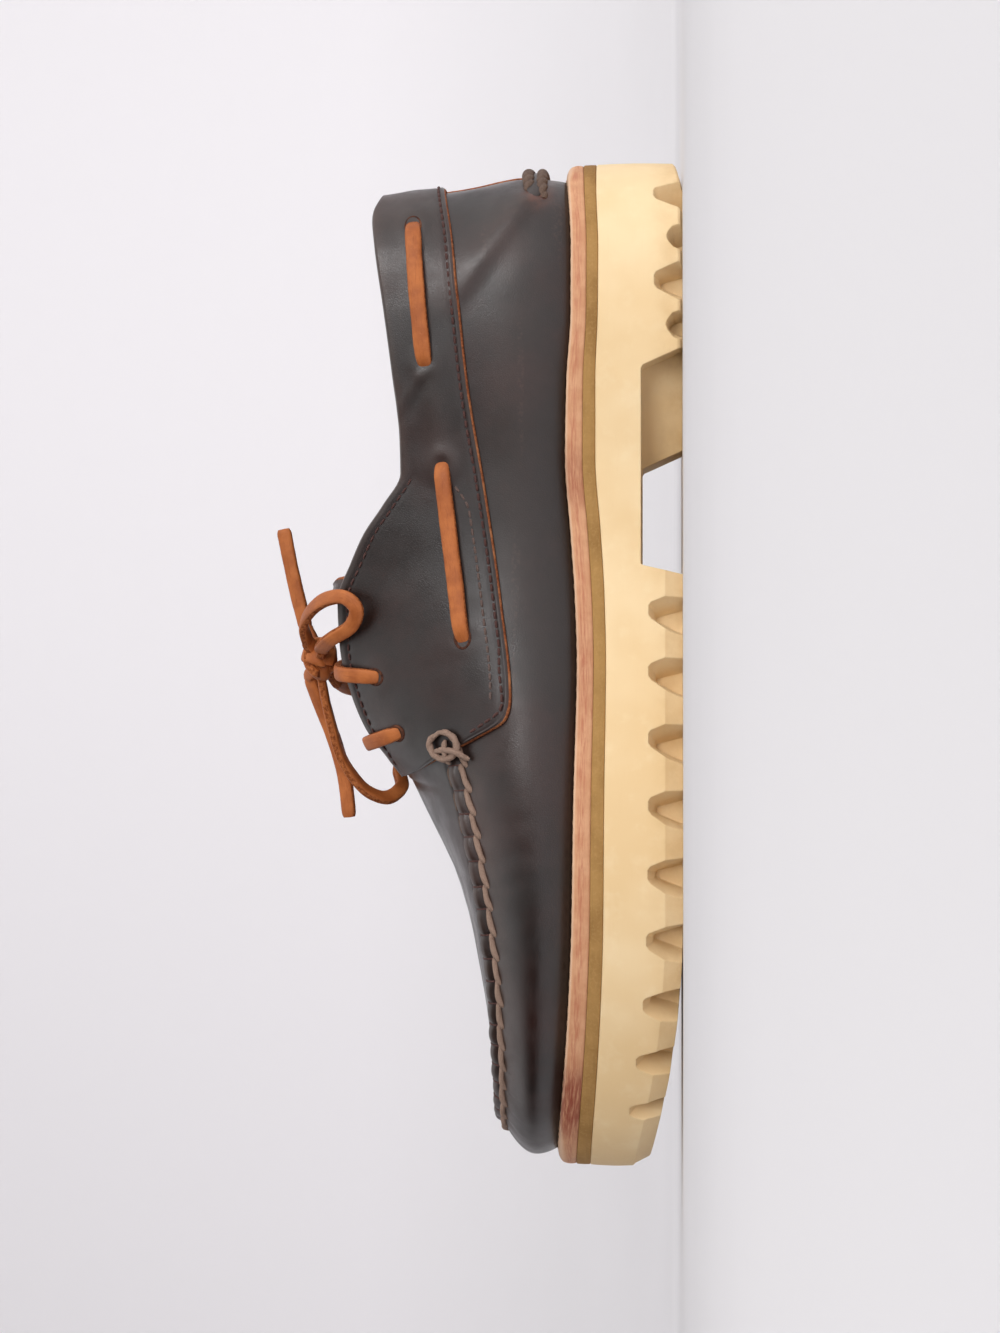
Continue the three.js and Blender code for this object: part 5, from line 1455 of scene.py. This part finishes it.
holes = Shape(("along", "across"))
side_paths = {}
for name, (d0, z0, d1, z1) in WINDOWS.items():
    for word, side in (("outer", 1), ("inner", -1)):
        f = np.array([-0.035, 0.0, 0.05, 0.12, 0.3, 0.5, 0.7, 0.88, 0.95, 1.0, 1.035])
        off = np.array([0.2, 1.4, 2.9, LIE, LIE + 0.15, LIE + 0.3, LIE + 0.15, LIE, 2.9, 1.4, 0.2])
        pts, nn = [], []
        for a, o in zip(f, off):
            u, w = locate(mix(d0, d1, a), mix(z0, z1, a), side)
            p, n = form(np.array([u]), np.array([w]))
            pts.append(p[0] + n[0] * o)
            nn.append(n[0])
        path = spline(pts, 0.9)
        k = np.concatenate([[0], np.cumsum(np.linalg.norm(np.diff(np.array(pts), axis=0), axis=1))])
        q = np.linspace(0, k[-1], len(path))
        hints = unit(np.stack([np.interp(q, k, np.array(nn)[:, i]) for i in range(3)], -1))
        shape = Shape(("along", "across"))
        strap(shape, path, LACE_WIDE + 0.25, LACE_THICK, hints=hints, wobble=0.03, seed=5 + side + len(name), sides=22, dive=6.5)
        piece = shape.build(f"rawhide_side_{word}_{name}", [LACE_FACE, LACE_CUT])
        finish_piece(piece, "rawhide", f"lace_side_{word}_{name}")
        for a in (0, 1):
            e = (0.0, 1.0)[a]
            u, w = locate(mix(d0, d1, e), mix(z0, z1, e), side)
            hole(holes, u, w, np.array(pts[-1]) - np.array(pts[0]))


def collar_u(station, side):
    us = np.linspace(0, THROAT, 600)
    top = LENGTH / 2 - sample(TP, us, np.ones(600))[:, 1]
    return float(np.interp(station, top, us)) * side


def crossing(name, eyelet, edge_station, mid, seed):
    pts = []
    for side in (1, -1):
        u, w = locate(*eyelet, side)
        p, n = form(np.array([u]), np.array([w]))
        ue = collar_u(edge_station, side)
        e, ne = form(np.array([ue]), np.array([0.985]))
        way = unit(e[0] - p[0])
        half = [p[0] - way * 1.0 + n[0] * 0.3, p[0] + way * 0.7 + n[0] * 2.3, p[0] + way * 3.2 + n[0] * (LIE + 0.1), e[0] + ne[0] * (LIE + 0.35) + np.array([0, 0, 0.3])]
        pts.append(half)
        hole(holes, u, w, way, a=2.7, b=2.2, off=OUT + 0.1, rim=2)
    route = pts[0] + [mid] + pts[1][::-1]
    path = spline(route, 0.9)
    shape = Shape(("along", "across"))
    strap(shape, path, LACE_WIDE, LACE_THICK, hint=form(np.array([locate(*eyelet, 1)[0]]), np.array([locate(*eyelet, 1)[1]]))[1][0], wobble=0.03, seed=seed, sides=22, dive=5.0)
    piece = shape.build(f"rawhide_{name}", [LACE_FACE, LACE_CUT])
    finish_piece(piece, "rawhide", f"lace_{name}")


crossing("bar_front", EYELETS[1], 170.5, as_point(172, -1, 91.2), 21)
crossing("bar_rear", EYELETS[0], 151.5, as_point(150.2, -0.5, 101.6), 22)
hole_piece = holes.build("lace_holes", [EDGE, HOLE_SHADE, DARK_EDGE_AND_SHADE])
finish_piece(hole_piece, "upper_leather")

# knot: three turns of lace pulled tight round each other
shape = Shape(("along", "across"))
centre = as_point(147.4, 0.6, 108.4)


def turn(c, ax, ay, rx, ry, start, stop, width, seed, drift=(0, 0, 0)):
    a = np.radians(np.linspace(start, stop, 40))
    ax, ay = unit(np.array(ax, float)), np.array(ay, float)
    ay = unit(ay - ay.dot(ax) * ax)
    path = c + np.cos(a)[:, None] * ax * rx + np.sin(a)[:, None] * ay * ry + np.linspace(-0.5, 0.5, 40)[:, None] * np.array(drift, float)
    out = unit(np.cos(a)[:, None] * ax / rx + np.sin(a)[:, None] * ay / ry)
    strap(shape, path, width + 0.5, 2.8, hints=out, wobble=0.03, seed=seed, sides=20)


# the lace crossing inside the knot, filling it
th, ph = np.linspace(0, 2 * np.pi, 28, endpoint=False), np.linspace(0.12, np.pi - 0.12, 14)
lump = 1 + 0.05 * np.sin(3 * th[:, None] + 2 * ph[None]) + 0.04 * np.sin(5 * th[:, None] - 3 * ph[None])
core = centre + [0, -0.8, 0] + np.stack([5.0 * lump * np.cos(ph)[None], 6.3 * lump * np.sin(ph)[None] * np.cos(th)[:, None], 3.9 * lump * np.sin(ph)[None] * np.sin(th)[:, None]], -1)
shape.grid(core, close_u=True, slot=0, along=th[:, None] * 5 + 0 * ph[None], across=0 * th[:, None] + ph[None])
for end, flip in ((0, False), (13, True)):
    ring = core[:, end]
    shape.add(np.concatenate([ring, ring.mean(0, keepdims=True)]), [np.array([[i, (i + 1) % 28, 28] if flip else [(i + 1) % 28, i, 28] for i in range(28)])], 0)
turn(centre + [2.2, 0, 0], (0, 1, 0.2), (0, -0.2, 1), 4.9, 3.6, -150, 165, 4.4, 31, (3.4, 0, 0))
turn(centre + [-2.4, 0.4, 0.2], (0, 1, -0.25), (0, 0.25, 1), 4.6, 3.5, -120, 190, 4.3, 32, (-3.0, 0, 0))
turn(centre + [0, 0, 0.4], (1, 0.15, 0), (0, 0.25, 1), 5.6, 4.0, -35, 215, 4.3, 33, (0, 2.5, 0))
turn(centre + [0.3, -0.6, -0.6], (1, -0.4, 0), (0.2, 0.9, -0.5), 5.0, 3.6, 10, 200, 4.1, 34, (0, 0, 2.0))
# where each loop and end tucks into the knot
for name, tips, way in (("lace_loop_outer", (0, -1), (0, 0.4, 1)), ("lace_loop_inner", (0, -1), (0, 0.1, 1)), ("lace_end_rear", (0,), (0.9, 0.1, 0.4)), ("lace_end_front", (0,), (0.8, 0.1, 0.6))):
    for tip in tips:
        a = as_point(*ROUTES[name][tip])
        b = as_point(*ROUTES[name][1 if tip == 0 else -2])
        inward = a - centre
        path = spline([centre + inward * 0.2, centre + inward * 0.55, a - unit(b - a) * 0.4, a + unit(b - a) * 1.0], 0.5)
        strap(shape, path, 4.4, 2.7, hint=way, wobble=0.02, seed=60 + len(name) + tip, sides=20)
knot = shape.build("rawhide_knot", [LACE_FACE, LACE_CUT])
finish_piece(knot, "rawhide", "lace_knot")

FREE_LOOK = {
    # name: far end, first face direction, twist along the way (radians)
    "lace_loop_outer": ("object", (0, 0.4, 1), [0, 0.35, 0.5, 0.6, 0.3, 0.0]),
    "lace_loop_inner": ("object", (0, 0.1, 1), [0, 0.25, 0.5, 0.3, 0.1, 0.0]),
    "lace_end_rear": ("bare", (0.9, 0.1, 0.4), [0, 0.15, 0.3]),
    "lace_end_front": ("bare", (0.8, 0.1, 0.6), [0, -0.25, -0.3]),
}
CORD_LENGTHS = {}
for k, (name, route) in enumerate(ROUTES.items()):
    far, hint, twist = FREE_LOOK[name]
    pts = [as_point(*p) for p in route]
    path = spline(pts, 0.8)
    shape = Shape(("along", "across"))
    length = strap(shape, path, 4.3, 2.6, hint=hint, twist=np.array(twist), wobble=0.035, seed=41 + k, sides=22)
    piece = shape.build("raw" + name.replace("lace", "hide"), [LACE_FACE, LACE_CUT])
    finish_piece(piece, "rawhide", name)
    line = spline(pts, length / 30)
    CORD_LENGTHS[name] = length * 0.001
print("cords", {k: round(v, 4) for k, v in CORD_LENGTHS.items()})


# ---- floor, backdrop and light ----------------------------------------------------------------------------
def sweep_floor():
    """A pale floor that rises in one soft curve far behind the shoe."""
    profile = [(4.0, 0.0), (2.0, 0.0), (0.5, 0.0), (-0.5, 0.0), (-1.6, 0.0)]
    profile += [(-1.6 - 1.4 * math.sin(a), 1.4 * (1 - math.cos(a))) for a in np.linspace(0.1, math.pi / 2, 18)]
    profile += [(-3.0, 2.4), (-3.0, 4.0)]
    ys = np.linspace(-5, 5, 5)
    pts = [(x, y, z) for x, z in profile for y in ys]
    faces = [[i * 5 + j, i * 5 + j + 1, (i + 1) * 5 + j + 1, (i + 1) * 5 + j] for i in range(len(profile) - 1) for j in range(4)]
    mesh = bpy.data.meshes.new("floor")
    mesh.from_pydata(pts, [], faces)
    mesh.polygons.foreach_set("use_smooth", np.ones(len(faces), bool))
    mesh.materials.append(floor_look("pale_floor"))
    tone = mesh.attributes.new("tone", "FLOAT", "POINT")
    tone.data.foreach_set("value", [float(np.clip((z - 0.02) / 0.3, 0, 1)) for x, y, z in pts])
    obj = bpy.data.objects.new("floor", mesh)
    bpy.context.scene.collection.objects.link(obj)
    obj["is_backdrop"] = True


sweep_floor()

world = bpy.data.worlds.new("world")
bpy.context.scene.world = world
world.use_nodes = True
# a bright studio, darker in front of the toe and a little high on the near side; the backdrop itself stays even
tree = world.node_tree
background = tree.nodes["Background"]
way = tree.nodes.new("ShaderNodeTexCoord")


def lobe(direction, start, stop, low, high):
    lean = tree.nodes.new("ShaderNodeVectorMath")
    lean.operation = "DOT_PRODUCT"
    lean.inputs[1].default_value = Vector(direction).normalized()
    ramp = tree.nodes.new("ShaderNodeMapRange")
    ramp.interpolation_type = "SMOOTHSTEP"
    for i, v in ((1, start), (2, stop), (3, low), (4, high)):
        ramp.inputs[i].default_value = v
    tree.links.new(way.outputs["Generated"], lean.inputs[0])
    tree.links.new(lean.outputs["Value"], ramp.inputs[0])
    return ramp.outputs[0]


def combine(operation, a, b):
    node = tree.nodes.new("ShaderNodeMath")
    node.operation = operation
    tree.links.new(a, node.inputs[0])
    tree.links.new(b, node.inputs[1])
    return node.outputs[0]


light = combine("MULTIPLY", combine("MULTIPLY", lobe((0.80, 0.12, 0.58), 0.72, 0.97, 1.0, 0.45), lobe((0, 1, 0), -1, 1, 0.85, 0.93)), lobe((0.52, -0.84, 0.14), 0.42, 0.90, 1.0, 0.03))
seen = tree.nodes.new("ShaderNodeLightPath").outputs["Is Camera Ray"]
even = tree.nodes.new("ShaderNodeMix")
even.data_type = "FLOAT"
tree.links.new(seen, even.inputs["Factor"])
tree.links.new(light, even.inputs[2])
even.inputs[3].default_value = 0.86
tree.links.new(even.outputs[0], background.inputs[1])
background.inputs[0].default_value = (1.0, 0.985, 0.99, 1)


def area(name, place, target, size, power, colour=(1, 1, 1)):
    data = bpy.data.lights.new(name, "AREA")
    data.shape, data.size, data.size_y = "RECTANGLE", size[0], size[1]
    data.energy, data.color = power, colour
    obj = bpy.data.objects.new(name, data)
    obj.location = place
    obj.rotation_euler = (Vector(target) - Vector(place)).to_track_quat("-Z", "Y").to_euler()
    bpy.context.scene.collection.objects.link(obj)
    return obj


side_light = area("soft_side", (1.9, 0.45, 0.42), (0, 0.02, 0.06), (1.0, 0.5), 2.7)
side_light.visible_glossy = False
side_light.data.spread = math.radians(75)
area("soft_top", (1.15, 0.86, 0.68), (0, 0.02, 0.05), (0.6, 0.4), 4.5)
fill = area("wall_fill", (-0.3, 1.1, 2.3), (-3.0, 0.5, 0.4), (2.0, 2.0), 20)
fill.data.spread = math.radians(120)
fill.visible_glossy = False

scene = bpy.context.scene
scene.view_settings.view_transform = "Standard"
scene.view_settings.look = "None"
scene.view_settings.exposure = 0.0
scene.view_settings.gamma = 1.0

for obj in bpy.data.objects:
    obj.select_set(False)
bpy.context.view_layer.update()
flat = lambda box: json.loads(json.dumps(box, default=lambda v: [round(float(x), 6) for x in v]))
{"cad": flat(CAD_BOX), "visual": flat(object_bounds())}
